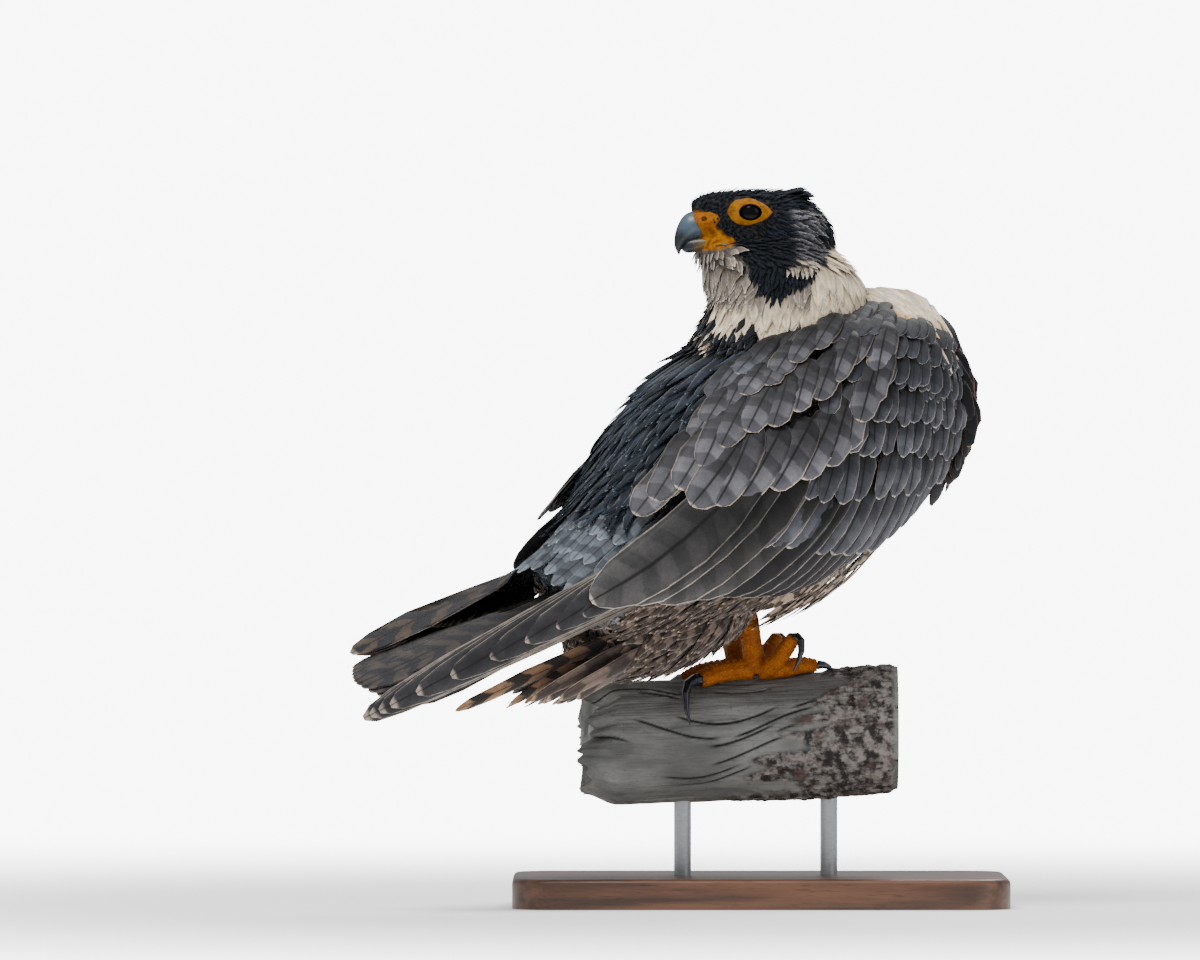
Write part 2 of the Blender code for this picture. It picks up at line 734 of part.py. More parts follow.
def make_arm_feathers(side):
    """Secondaries and tertials with their coverts, then scapulars, then the small coverts of the bend."""
    made = []
    rows = zip(row_between(ARM_ROOTS, ARM_FEATHERS), row_between(ARM_TIPS, ARM_FEATHERS))
    for k, (root, tip) in enumerate(rows):
        width = ARM_WIDTHS[0] + (ARM_WIDTHS[1] - ARM_WIDTHS[0]) * k / (ARM_FEATHERS - 1)
        made.append(coat_vane(side, root, tip, width, BROAD, ARM_TILT))
        if k < COVERTS:
            reach = COVERT_REACH[0] + (COVERT_REACH[1] - COVERT_REACH[0]) * k / (COVERTS - 1)
            end = place_between(root, tip, reach)
            start, end = ((s, angle, lift + COVERT_LIFT) for s, angle, lift in (root, end))
            made.append(coat_vane(side, start, end, width - 2, BROAD, ARM_TILT))
    for roots, tips, count, width, tilt in (
        (SCAPULAR_ROOTS, SCAPULAR_TIPS, SCAPULARS, 25, ARM_TILT),
        (BEND_ROOTS, BEND_TIPS, BEND_COVERTS, 18, 0),
    ):
        for root, tip in zip(row_between(roots, count), row_between(tips, count)):
            made.append(coat_vane(side, root, tip, width, BROAD, tilt))
    return made


def make_wing(bird, side, feathers):
    """A folded wing: the covered arm, and its feathers row over row."""
    name = "wing_right" if side == RIGHT else "wing_left"
    obj = wing_core(bird, side, name, feathers)
    return fuse(obj, make_primaries(side) + make_arm_feathers(side))


def limb_middle(x):
    return LIMB_HEIGHT + LIMB_RISE * x


# Splinters on the broken end: place along X, length, width, and how far the tip stands up, in metres.
SPLINTERS = (
    (-0.050, 0.030, 0.009, 0.0022),
    (-0.066, 0.022, 0.007, 0.0018),
    (-0.070, 0.018, 0.006, -0.004),
)


def make_perch(wood):
    """The cut length of limb: broken and worn round on the left, sawn square on the right."""
    rows = (
        (-81.0, 69.5, 8),
        (-78.5, 70.5, 18),
        (-72.0, 71.5, 25),
        (-60.0, 73.5, 28.6),
        (-42.0, 75.8, 29.2),
        (-18.0, 77.6, 28.8),
        (8.0, 78.9, 28.5),
        (36.0, 80.5, 28.6),
        (64.0, 81.8, 29.4),
    )
    sides = 22
    rings = []
    for x, z, radius in rows:
        ring = []
        for i in range(sides):
            angle = 2 * math.pi * i / sides
            ripple = 1 + 0.018 * math.sin(3 * angle + 0.05 * x) + 0.012 * math.sin(5 * angle - 0.08 * x)
            if x < -70:
                ripple *= 1 + 0.05 * math.sin(2 * angle + 1.0)
            reach = radius * ripple
            ring.append(Vector((x, reach * math.sin(angle), z + reach * math.cos(angle))) * MM)
        rings.append(ring)
    obj = add_object("perch", skin_mesh("perch", rings), None, wood)
    splinters = []
    for place, length, width, height in SPLINTERS:
        y = -0.010 + 0.010 * len(splinters)
        surface = limb_middle(place) + math.sqrt(0.0286**2 - y**2)
        points = [
            Vector((place + length * (0.45 - t), y, surface + height * t - 0.003 * (1 - t)))
            for t in (0, 0.35, 0.7, 1.0)
        ]
        ups = [Vector((0, 0.2, 1)).normalized()] * 4
        splinters.append(vane_mesh("splinter", points, ups, width, (0.9, 1.0, 0.8, 0.3), 0, 0.0, 2.4 * MM))
    return fuse(obj, splinters)


# Toes in the row frame, in mm from the middle of the foot, for the right foot. The left foot's mirror them.
TOES = (
    ("hallux", ((-2, 0, 1), (-12, -1.5, 0.2), (-20, -2.5, -1.8), (-26, -4.0, -4.6)), (5.2, 4.6, 4.4, 3.7)),
    ("inner", ((2, 1, 1), (9, 4.2, 0.2), (15, 6.4, 0.6), (20, 7.6, 0.2)), (4.8, 3.9, 3.6, 2.9)),
    ("middle", ((2, 0, 1), (12, 0.6, 0.8), (21, 0.9, 2.6), (28, 1.0, 2.2)), (4.8, 4.2, 3.7, 2.8)),
    ("outer", ((3, -1, 1), (9, -6.0, 4.2), (14, -10.5, 10.5), (17.5, -13.5, 16)), (4.8, 3.9, 3.7, 3.0)),
)
CLAWS = {
    "hallux": ((-25.0, -4.5, -4.2), (-30.5, -9.5, -5.0), (-33.0, -14.5, -12.5), (-30.5, -17.6, -25.5)),
    "inner": ((19.2, 7.5, 0.4), (23.5, 8.3, 0.5), (26.6, 8.9, -0.7), (28.5, 9.3, -2.6)),
    "middle": ((27.2, 1.0, 2.4), (31.0, 1.1, 2.8), (34.0, 1.3, 1.6), (35.8, 1.5, -0.2)),
    "outer": ((16.8, -13.4, 15.2), (20.4, -15.4, 15.2), (20.6, -16.6, 7.5), (17.0, -16.8, -0.5)),
}
CLAW_RADII = {
    "hallux": (3.3, 2.7, 1.9, 0.35),
    "inner": (2.4, 2.0, 1.4, 0.3),
    "middle": (2.4, 2.0, 1.4, 0.3),
    "outer": (2.6, 2.1, 1.5, 0.3),
}
FOOT_PLACE = {RIGHT: (-2.0, -12.0, 109.2), LEFT: (-9.0, 12.5, 108.6)}
TARSUS_TOP = {RIGHT: (-8.0, -17.5, 146.0), LEFT: (-20.0, 12.0, 146.0)}


def make_foot(side, skin, claw_horn, perch, *feathered):
    """Bare tarsus and toes as one piece, and its four claws."""
    name = "right" if side == RIGHT else "left"
    middle = Vector(FOOT_PLACE[side])

    def placed(p):
        return (middle + Vector((p[0], p[1] * side, p[2]))) * MM

    top = Vector(TARSUS_TOP[side]) * MM
    foot = middle * MM
    shin = top.lerp(foot, 0.35) + Vector((0.0006, 0, 0))
    path = (top, shin, top.lerp(foot, 0.72), foot + Vector((0, 0, -0.0005)))
    obj = add_object("foot_" + name, tube("foot", path, (0.0047, 0.0044, 0.0047, 0.0058), 10, 6), None, skin)
    toes = [tube(toe, [placed(p) for p in line], [r * MM for r in radii], 8, 6) for toe, line, radii in TOES]
    fuse(obj, toes)
    fit_round(obj, perch, *feathered)
    claws = []
    for toe, line in CLAWS.items():
        radii = [r * MM for r in CLAW_RADII[toe]]
        mesh = tube("claw", [placed(p) for p in line], radii, 7, 6)
        claw = add_object(f"claw_{name}_{toe}", mesh, None, claw_horn)
        fit_round(claw, obj, perch)
        claws.append(claw)
    return obj, claws


def make_stand(perch, base_wood, steel):
    """A flat base with round corners, and two rods that carry the limb."""
    corners = bmesh.new()
    bmesh.ops.create_cube(corners, size=1)
    bmesh.ops.scale(corners, verts=corners.verts, vec=(BASE_LENGTH, BASE_DEPTH, BASE_HEIGHT))
    bmesh.ops.translate(corners, verts=corners.verts, vec=(0, 0, BASE_HEIGHT / 2))
    upright = [e for e in corners.edges if abs(e.verts[0].co.z - e.verts[1].co.z) > BASE_HEIGHT / 2]
    bmesh.ops.bevel(corners, geom=upright, offset=BASE_CORNER, segments=5, profile=0.5, affect="EDGES")
    rim = [e for e in corners.edges if min(v.co.z for v in e.verts) > BASE_HEIGHT - MM]
    bmesh.ops.bevel(corners, geom=rim, offset=BASE_BEVEL, segments=2, profile=0.5, affect="EDGES")
    bmesh.ops.triangulate(corners, faces=corners.faces)
    mesh = bpy.data.meshes.new("stand_base")
    corners.to_mesh(mesh)
    corners.free()
    mesh.shade_smooth()
    mesh.set_sharp_from_angle(angle=math.radians(38))
    add_object("stand_base", mesh, None, base_wood)
    for place, end in zip(ROD_PLACES, ("left", "right")):
        line = [(place, 0, BASE_HEIGHT + GAP + (LIMB_HEIGHT - BASE_HEIGHT) * t) for t in (0, 0.5, 1)]
        rod = add_object("stand_rod_" + end, tube("rod", line, [ROD_RADIUS] * 3, 12, 3), None, steel)
        fit_round(rod, perch)
        rod.data.set_sharp_from_angle(angle=math.radians(38))


def main():
    clear_scene()
    slate = finish("slate_feathers", (0.055, 0.052, 0.055), 0.75)
    black = finish("black_feathers", (0.012, 0.012, 0.014), 0.8)
    buff = finish("buff_feathers", (0.36, 0.27, 0.19), 0.85)
    cream = finish("cream_feathers", (0.62, 0.54, 0.43), 0.85)
    horn = finish("bill_horn", (0.045, 0.06, 0.075), 0.35)
    yellow = finish("yellow_skin", (0.75, 0.36, 0.02), 0.5)
    talon = finish("claw_horn", (0.008, 0.010, 0.014), 0.3)
    gloss = finish("eye", (0.006, 0.005, 0.005), 0.05)
    wood = finish("weathered_wood", (0.21, 0.20, 0.18), 0.85)
    walnut = finish("base_walnut", (0.06, 0.035, 0.02), 0.4)
    steel = finish("rod_steel", (0.55, 0.55, 0.55), 0.3, 1.0)

    bird = empty("bird", (0, 0, 0), BODY_YAW)
    head = empty("head_pose", HEAD_CENTRE, HEAD_TURN, bird)

    torso = make_torso(bird, slate)
    thighs = {side: fit_round(make_thigh(bird, side, buff), torso) for side in (RIGHT, LEFT)}
    vent = fit_round(make_vent(bird, buff), torso, *thighs.values())
    tail = fit_round(make_tail(bird, slate), torso, vent)

    cere, upper, lower = make_bill(head, horn, yellow)
    skull = make_head(head, black)
    eyes = [part for side in (RIGHT, LEFT) for part in make_eye(head, side, gloss, yellow)]
    fit_round(skull, cere, upper, lower, *eyes)
    neck = fit_round(make_neck(cream), torso, skull, lower)

    for side in (RIGHT, LEFT):
        fit_round(make_wing(bird, side, slate), torso, neck, thighs[side], vent, tail)

    perch = make_perch(wood)
    for side in (RIGHT, LEFT):
        make_foot(side, yellow, talon, perch, thighs[side], torso, vent)
    make_stand(perch, walnut, steel)


if __name__ == "__main__":
    main()
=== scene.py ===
"""Looks of a life-size peregrine falcon on a cut length of dead limb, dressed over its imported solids.

One skin takes the place of the flesh, and every feather is a closed leaf of mesh laid along that skin. Two
frames are used beside the row frame. The bird frame is the row frame turned about Z by BODY_YAW: +X is the way
the breast faces and +Y the bird's left. The head frame has its origin in the middle of the skull: +X runs to
the bill and +Y to the bird's left. The body is laid out on a chart: s in mm from the breast to the end of the
tail, and an angle round the body in degrees from the middle of the back, positive on the bird's right.
"""

import math
import random
from functools import partial
from itertools import accumulate

import bmesh
import bpy
import numpy as np
from bpy.props import FloatProperty, FloatVectorProperty, PointerProperty
from mathutils import Matrix, Vector, noise
from mathutils.bvhtree import BVHTree


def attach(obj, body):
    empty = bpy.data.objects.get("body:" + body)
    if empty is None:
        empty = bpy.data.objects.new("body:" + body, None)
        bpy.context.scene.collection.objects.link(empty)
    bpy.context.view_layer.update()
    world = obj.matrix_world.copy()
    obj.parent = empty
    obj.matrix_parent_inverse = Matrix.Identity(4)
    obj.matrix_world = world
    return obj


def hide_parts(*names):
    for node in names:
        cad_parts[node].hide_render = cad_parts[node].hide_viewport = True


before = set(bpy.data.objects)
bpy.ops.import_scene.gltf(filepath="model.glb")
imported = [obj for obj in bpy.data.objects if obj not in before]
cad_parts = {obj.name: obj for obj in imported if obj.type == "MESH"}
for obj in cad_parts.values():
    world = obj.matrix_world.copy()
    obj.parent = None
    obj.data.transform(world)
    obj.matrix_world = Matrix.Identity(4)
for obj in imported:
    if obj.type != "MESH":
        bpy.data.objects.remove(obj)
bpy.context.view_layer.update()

bl_info = {
    "name": "Perched Falcon Looks",
    "version": (1, 0, 0),
    "blender": (4, 5, 0),
    "location": "3D Viewport > Sidebar > Falcon",
    "description": "Feathers, bare parts, perch and stand of a perched peregrine falcon",
    "category": "Object",
}

MM = 0.001
RIGHT = 1
LEFT = -1
SIDES = {RIGHT: "right", LEFT: "left"}
BODY_YAW = math.radians(32)

# The bent line of the body: forward, up, half width, half depth to the back, half depth to the belly, and roll.
BODY_LINE = (
    (88, 272, 12, 8, 10, 0),
    (76, 265, 34, 26, 32, 0),
    (57, 251, 49, 42, 50, 0),
    (33, 231, 58, 54, 56, 0),
    (2, 202, 60, 58, 56, 0),
    (-34, 175, 54, 52, 46, 2),
    (-72, 155, 42, 37, 31, 6),
    (-108, 142, 31, 20, 20, 12),
    (-145, 129, 27, 10, 11, 18),
    (-182, 115, 27, 7, 7, 22),
    (-219, 101, 29, 5, 5, 25),
)
HEAD_CENTRE = Vector((-0.0002, -0.0046, 0.3150))
HEAD_TURN = math.radians(180 + 12)
EYE_CENTRE = Vector((8.8, 10.2, 6.7)) * MM
EYE_RADIUS = 6.3 * MM
EYE_FORWARD = 1.4 * MM
EYE_AHEAD = math.radians(16)
LID_EDGE = (11.0, 10.0, 7.4, 6.6, 6.3, 7.3, 10.3, 7.0, 5.6, 5.7, 6.8, 8.9)
LIMB_RADIUS = 28.4 * MM
LIMB_HEIGHT = 78.4 * MM
LIMB_RISE = 0.055
LIMB_START, LIMB_END = -0.081, 0.064
BASE_SIZE = (0.230, 0.140, 0.014)
BASE_CORNER, BASE_BEVEL = 0.020, 0.0025
ROD_RADIUS = 4.0 * MM
ROD_PLACES = (-0.036, 0.032)
ROD_INSET = 4 * MM
COAT_DEPTH = 2.4 * MM
HEAD_COAT_DEPTH = 1.1 * MM

# Heights in the row frame above which a feather is the head's, can be bare, or lies on the head's unwrap.
HEAD_BASE = 0.2985
BARE_BASE = 0.285
NECK_BASE = 0.262
HEAD_REACH = 46
HEAD_COAT_EDGE = (0.302, 0.285)

BIRD_TO_ROW = Matrix.Rotation(BODY_YAW, 4, "Z")
ROW_TO_BIRD = BIRD_TO_ROW.inverted()
HEAD_TO_ROW = Matrix.Translation(BIRD_TO_ROW @ HEAD_CENTRE) @ Matrix.Rotation(HEAD_TURN, 4, "Z")
ROW_TO_HEAD = HEAD_TO_ROW.inverted()


def linear(text):
    """Linear RGB of an sRGB hex colour."""
    values = [int(text[i : i + 2], 16) / 255 for i in (1, 3, 5)]
    return tuple(v / 12.92 if v <= 0.04045 else ((v + 0.055) / 1.055) ** 2.4 for v in values)


def ramp(value, start, end):
    """0 before start and 1 after end, smooth between them; start may be the larger."""
    share = min(max((value - start) / (end - start), 0.0), 1.0)
    return share * share * (3 - 2 * share)


def steps(count, start=0.0, end=1.0):
    """Even steps from start to end."""
    return [start + (end - start) * i / (count - 1) for i in range(count)]


def mixed(one, two, share):
    """A row of values between two rows."""
    return tuple(a + (b - a) * share for a, b in zip(one, two))


def curve_through(rows, share):
    """The value at share, from 0 to 1, of a smooth line through rows, which are evenly spaced."""
    last = len(rows) - 1
    place = min(max(share, 0.0), 1.0) * last
    i = min(int(place), last - 1)
    t = place - i
    before, start, end, after = (rows[min(max(i + k, 0), last)] for k in (-1, 0, 1, 2))
    return [
        b + 0.5 * t * (c - a + t * (2 * a - 5 * b + 4 * c - d + t * (3 * (b - c) + d - a)))
        for a, b, c, d in zip(before, start, end, after)
    ]


STRIDES = [math.hypot(two[0] - one[0], two[1] - one[1]) for one, two in zip(BODY_LINE, BODY_LINE[1:])]
LENGTHS = [0.0, *accumulate(STRIDES)]
BODY_LENGTH = LENGTHS[-1]


def body_section(s):
    """The body line's row at s in mm, with a slope that runs smoothly from point to point."""
    s = min(max(s, 0.0), BODY_LENGTH)
    i = max(k for k in range(len(LENGTHS) - 1) if LENGTHS[k] <= s)
    span = LENGTHS[i + 1] - LENGTHS[i]
    t = (s - LENGTHS[i]) / span

    def slope(k, column):
        low, high = max(k - 1, 0), min(k + 1, len(LENGTHS) - 1)
        return (BODY_LINE[high][column] - BODY_LINE[low][column]) / (LENGTHS[high] - LENGTHS[low]) * span

    return [
        (2 * t**3 - 3 * t**2 + 1) * BODY_LINE[i][c]
        + (t**3 - 2 * t**2 + t) * slope(i, c)
        + (3 * t**2 - 2 * t**3) * BODY_LINE[i + 1][c]
        + (t**3 - t**2) * slope(i + 1, c)
        for c in range(6)
    ]


def spine_frame(s):
    """(middle, along, upward) of the body line at s, in the bird frame."""
    row, ahead, behind = body_section(s), body_section(s + 1), body_section(s - 1)
    along = Vector((ahead[0] - behind[0], 0, ahead[1] - behind[1])).normalized()
    return Vector((row[0], 0, row[1])) * MM, along, Vector((along.z, 0, -along.x))


def coat_frame(s, angle):
    """(surface point, outward direction) of the body at s and angle, in the row frame."""
    row = body_section(s)
    middle, _, upward = spine_frame(s)
    turn, roll = math.radians(angle), math.radians(row[5])
    depth = row[3] if math.cos(turn) > 0 else row[4]
    lean = Vector((math.cos(turn) / depth, math.sin(turn) / row[2])).normalized()

    def place(rise, side):
        rolled_rise = rise * math.cos(roll) - side * math.sin(roll)
        rolled_side = side * math.cos(roll) + rise * math.sin(roll)
        return upward * rolled_rise + Vector((0, -rolled_side, 0))

    point = middle + place(depth * math.cos(turn), row[2] * math.sin(turn)) * MM
    return BIRD_TO_ROW @ point, BIRD_TO_ROW.to_3x3() @ place(lean.x, lean.y)


SPINE = [(s, *spine_frame(s), body_section(s)) for s in steps(160, 0, BODY_LENGTH)]
SPINE_MIDDLES = np.array([middle for _, middle, _, _, _ in SPINE])


def chart_place(point):
    """(s in mm, angle in degrees) of the body's chart nearest to a point of the row frame."""
    p = ROW_TO_BIRD @ point
    gap = SPINE_MIDDLES - np.array((p.x, 0, p.z))
    s, middle, _, upward, row = SPINE[int(np.argmin((gap**2).sum(1)))]
    roll = math.radians(row[5])
    rise, side = (p - middle).dot(upward) / MM, -p.y / MM
    rise, side = rise * math.cos(roll) + side * math.sin(roll), side * math.cos(roll) - rise * math.sin(roll)
    depth = row[3] if rise > 0 else row[4]
    return s, math.degrees(math.atan2(side / row[2], rise / depth))


def chart_spot(s, angle):
    """Where a place of the body's chart lies on the unwrap."""
    return 0.02 + 0.96 * s / BODY_LENGTH, 0.5 + angle / 375


def link(name, mesh):
    obj = bpy.data.objects.new(name, mesh)
    bpy.context.scene.collection.objects.link(obj)
    return obj


def closed_tube(place, sides, count):
    """A capped tube whose corners are set by place(angle, share along it)."""
    form = bmesh.new()
    bmesh.ops.create_cone(form, cap_ends=True, segments=sides, radius1=1, radius2=1, depth=1)
    upright = [e for e in form.edges if abs(e.verts[0].co.z - e.verts[1].co.z) > 0.5]
    bmesh.ops.subdivide_edges(form, edges=upright, cuts=count - 2, use_grid_fill=True)
    for v in form.verts:
        v.co = place(math.atan2(v.co.y, v.co.x), v.co.z + 0.5)
    bmesh.ops.recalc_face_normals(form, faces=form.faces)
    return form


def path_tube(path, radii, sides, count, flatten=1.0):
    """A closed tube along a smooth path of the row frame, with its radius read from radii."""
    points = [Vector(curve_through(path, t)) for t in steps(count)]
    sizes = [curve_through([(r,) for r in radii], t)[0] for t in steps(count)]
    axes, across = [], None
    for k in range(count):
        along = (points[min(k + 1, count - 1)] - points[max(k - 1, 0)]).normalized()
        if across is None:
            across = along.cross(Vector((0, 0, 1)) if abs(along.z) < 0.8 else Vector((1, 0, 0)))
        across = (across - along * across.dot(along)).normalized()
        axes.append((across.copy(), across.cross(along)))

    def place(angle, share):
        k = round(share * (count - 1))
        return points[k] + sizes[k] * (axes[k][0] * math.cos(angle) + axes[k][1] * (flatten * math.sin(angle)))

    return closed_tube(place, sides, count)


def node_form(name):
    """A merged copy of a solid's mesh."""
    form = bmesh.new()
    form.from_mesh(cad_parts[name].data)
    bmesh.ops.remove_doubles(form, verts=form.verts, dist=0.000002)
    return form


def shaped(name, form, sharp=None):
    """A form as a smooth-shaded object, whose edges over sharp degrees stay sharp."""
    mesh = bpy.data.meshes.new(name)
    form.to_mesh(mesh)
    form.free()
    mesh.shade_smooth()
    if sharp:
        mesh.set_sharp_from_angle(angle=math.radians(sharp))
    return link(name, mesh)


def gathered(forms):
    """Several forms as one."""
    whole = bmesh.new()
    for form in forms:
        part = bpy.data.meshes.new("part")
        form.to_mesh(part)
        form.free()
        whole.from_mesh(part)
        bpy.data.meshes.remove(part)
    return whole


def remeshed(name, forms, voxel, rounds):
    """The given forms as one even, smooth mesh object."""
    obj = shaped(name, gathered(forms))
    cells = obj.modifiers.new("cells", "REMESH")
    cells.mode = "VOXEL"
    cells.voxel_size = voxel
    cells.use_smooth_shade = True
    even = obj.modifiers.new("even", "SMOOTH")
    even.factor = 0.5
    even.iterations = rounds
    made = bpy.data.meshes.new_from_object(obj.evaluated_get(bpy.context.evaluated_depsgraph_get()))
    obj.modifiers.clear()
    rough, obj.data = obj.data, made
    bpy.data.meshes.remove(rough)
    made.name = name
    made.shade_smooth()
    return obj


def grown(obj, depth):
    """Move each corner out by what depth gives for its place."""
    for v, normal in zip(obj.data.vertices, [n.vector.copy() for n in obj.data.vertex_normals]):
        v.co += normal * depth(v.co)
    obj.data.update()
    return obj


def store(mesh, name, kind, values):
    """Keep a value for each corner in an attribute of the mesh."""
    field = "color" if kind == "FLOAT_COLOR" else "value"
    mesh.attributes.new(name, kind, "POINT").data.foreach_set(field, np.asarray(values, np.float32).ravel())


def settle(obj, material, slot, *nodes):
    """Finish a piece: its material, its body, and the solids it stands for. slot is not used."""
    obj.data.materials.clear()
    obj.data.materials.append(material)
    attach(obj, "root")
    if nodes:
        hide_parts(*nodes)
    return obj


# Nodes


def add_node(tree, kind, inputs=(), output=0, **settings):
    """Add a node, set or link its inputs by place or by name, and give one output, or the node for None."""
    node = tree.nodes.new("ShaderNode" + kind)
    for key, value in settings.items():
        setattr(node, key, value)
    for key, source in inputs.items() if isinstance(inputs, dict) else enumerate(inputs):
        if isinstance(source, bpy.types.NodeSocket):
            tree.links.new(source, node.inputs[key])
        else:
            node.inputs[key].default_value = (*source, 1) if node.inputs[key].type == "RGBA" else source
    return node if output is None else node.outputs[output]


def start_material(name, **sockets):
    """A material with constants on its shader, what adds its nodes, and its Object coordinates."""
    material = bpy.data.materials.new(name)
    material.use_nodes = True
    shader = material.node_tree.nodes["Principled BSDF"]
    for key, value in sockets.items():
        shader.inputs[key.replace("_", " ")].default_value = value
    add = partial(add_node, material.node_tree)
    return material, add, add("TexCoord", output="Object")


def finish_material(material, colour, relief=None, depth=0.0, strength=0.5):
    """Give the shader its colour and, where there is one, a relief of a depth in metres."""
    tree = material.node_tree
    shader = tree.nodes["Principled BSDF"]
    tree.links.new(colour, shader.inputs["Base Color"])
    if relief is not None:
        raised = add_node(tree, "Bump", {"Height": relief, "Distance": depth, "Strength": strength})
        tree.links.new(raised, shader.inputs["Normal"])
    return material


def grain(add, place, size, detail=3.0, stretch=(1, 1, 1), roughness=0.5):
    """A cloudy pattern whose grains are size across, in metres, and stretched along each axis."""
    spread = add("Mapping", {"Vector": place, "Scale": tuple(1 / (size * k) for k in stretch)})
    return add("TexNoise", {"Vector": spread, "Scale": 1.0, "Detail": detail, "Roughness": roughness})


def stained(add, pattern, low, high, under, over, strength=None):
    """The colour under, which turns to over where a pattern goes from low to high."""
    share = add("MapRange", [pattern, low, high], interpolation_type="SMOOTHSTEP")
    if strength is not None:
        share = add("Math", [share, strength], operation="MULTIPLY")
    return add("Mix", {0: share, 6: under, 7: over}, 2, data_type="RGBA")


# Materials

# What turns a feather's count of bars, kept as tenths, to radians along the vane.
BAR_TURNS = 62.83


def vane_keratin(name, roughness, gloss, barb_strength, painted_root_shade=0.4):
    """Feather keratin. Its barbs give a soft sheen, its shaft a fine line and its worn edge a paler fringe; its root
    and the half under the next feather are darkened as painted shade.
    """
    material, add, place = start_material(
        name, Roughness=roughness, Sheen_Weight=gloss, Sheen_Roughness=0.4, Specular_IOR_Level=0.22
    )
    along, across = add("SeparateXYZ", [add("UVMap", uv_map="Leaf")], None).outputs[:2]
    centred = add("Math", [across, 0.5], operation="SUBTRACT")
    side = add("Math", [add("Math", [centred], operation="ABSOLUTE"), 2.0], operation="MULTIPLY")
    base, edge, mark = (add("Attribute", output="Color", attribute_name=key) for key in ("base", "edge", "mark"))
    marks = add("Attribute", output=None, attribute_name="marks").outputs
    bars, count, fringe = add("SeparateColor", [marks["Color"]], None).outputs[:3]
    # worn and dirty patches 6 mm across
    wear = grain(add, place, 6 * MM)
    # barbs are 0.3 mm apart and drawn at 0.9 mm to show
    barbs = grain(add, place, 0.9 * MM, 2.0)
    wobble = add("Math", [wear, 0.25, -0.125], operation="MULTIPLY_ADD")
    swept = add("Math", [side, -0.06, along], operation="MULTIPLY_ADD")
    swept = add("Math", [wobble, 0.25, swept], operation="MULTIPLY_ADD")
    turns = add("Math", [add("Math", [swept, count], operation="MULTIPLY"), BAR_TURNS], operation="MULTIPLY")
    colour = stained(add, add("Math", [turns], operation="SINE"), -0.15, 0.45, base, mark, bars)
    tip, flank = add("Math", [along, 5.0], operation="POWER"), add("Math", [side, 1.6], operation="POWER")
    margin = add("Math", [wobble, 0.3, add("Math", [flank, tip], operation="MAXIMUM")], operation="MULTIPLY_ADD")
    inside = add("Math", [add("Math", [margin, 1.0], operation="SUBTRACT"), fringe], operation="ADD")
    colour = stained(add, add("Math", [inside, fringe], operation="DIVIDE"), 0.0, 0.6, colour, edge)
    colour = stained(add, side, 0.10, 0.02, colour, linear("#17151a"), marks["Alpha"])
    # lighter and darker by barb, to the margin and by wear; darker towards the root as painted shade where the
    # feather before lies over it, and darker on the half under the next feather as painted shade
    tone = 1.0
    for limits in (
        (barbs, 0, 1, 0.72, 1.28),
        (along, 0.3, 0.95, painted_root_shade, 1.2),
        (side, 0, 1, 0.72, 1.25),
        (wear, 0.3, 0.7, 0.8, 1.2),
        (across, 0, 1, 0.84, 1.14),
    ):
        tone = add("Math", [tone, add("MapRange", limits)], operation="MULTIPLY")
    final = add("VectorMath", {0: colour, 3: tone}, operation="SCALE")
    return finish_material(material, final, barbs, 0.4 * MM, barb_strength)


def skin_under_down(name):
    """Skin under grey down, a soft ground between feathers that is darkened as painted shade, and bare yellow skin
    at the bill's root.
    """
    material, add, place = start_material(name, Roughness=0.95, Specular_IOR_Level=0.1)
    # base is the colour of the feathers over the skin, darkened as painted shade between them
    base = add("Attribute", output="Color", attribute_name="base")
    bare = add("Attribute", output="Fac", attribute_name="bare")
    # down tufts 1.5 mm across
    fluff = grain(add, place, 1.5 * MM, 4.0)
    covered = add("Math", [1.0, bare], operation="SUBTRACT")
    downy = stained(add, fluff, 0.35, 0.75, base, linear("#3c3733"), covered)
    # waxy skin mottled every 3 mm
    waxy = stained(add, grain(add, place, 3 * MM, 4.0), 0.35, 0.7, linear("#a86c0a"), linear("#6e3a10"))
    colour = add("Mix", {0: bare, 6: downy, 7: waxy}, 2, data_type="RGBA")
    return finish_material(material, colour, fluff, 1.0 * MM, 0.8)


def bill_keratin(name, root, hook):
    """Horny sheath of the bill: blue-grey at its root and near black at the hook, satin and faintly streaked."""
    material, add, place = start_material(name, Roughness=0.38, Coat_Weight=0.10, Coat_Roughness=0.2)
    # growth streaks 0.7 mm apart along the bill, and stains 3.5 mm across
    streak = grain(add, place, 0.7 * MM, 3.0, (2.5, 1, 2.5))
    stain = grain(add, place, 3.5 * MM)
    reach = add("Attribute", output="Fac", attribute_name="reach")
    reach = add("Math", [stain, 0.25, reach], operation="MULTIPLY_ADD")
    colour = stained(add, reach, 0.42, 0.85, root, hook)
    colour = stained(add, streak, 0.55, 0.85, colour, linear("#8fa3ae"), 0.25)
    return finish_material(material, colour, streak, 0.3 * MM, 0.35)


def bare_skin(name, main, deep, pebble, crease):
    """Bare skin with small pebbled scales: waxy yellow and orange, and darker in the creases between the scales."""
    material, add, place = start_material(
        name, Roughness=0.5, Subsurface_Weight=0.08, Subsurface_Scale=2 * MM, Specular_IOR_Level=0.15
    )
    scales = add("TexVoronoi", {"Vector": place, "Scale": 1 / pebble}, "Distance", feature="DISTANCE_TO_EDGE")
    # stains 4 mm across
    colour = stained(add, grain(add, place, 4 * MM, 4.0), 0.35, 0.75, main, deep)
    # darker colour in the creases between the scales
    colour = stained(add, scales, 0.12, 0.02, colour, crease, 0.75)
    return finish_material(material, colour, scales, 0.8 * MM, 0.8)


def talon_horn(name):
    """Claw keratin: black, hard and polished by use, with faint growth lines."""
    material, add, place = start_material(name, Roughness=0.22, Coat_Weight=0.4, Coat_Roughness=0.12)
    # growth lines 1.2 mm apart
    lines = grain(add, place, 1.2 * MM)
    colour = stained(add, lines, 0.45, 0.8, linear("#0d0f13"), linear("#2a2f38"))
    return finish_material(material, colour, lines, 0.2 * MM, 0.3)


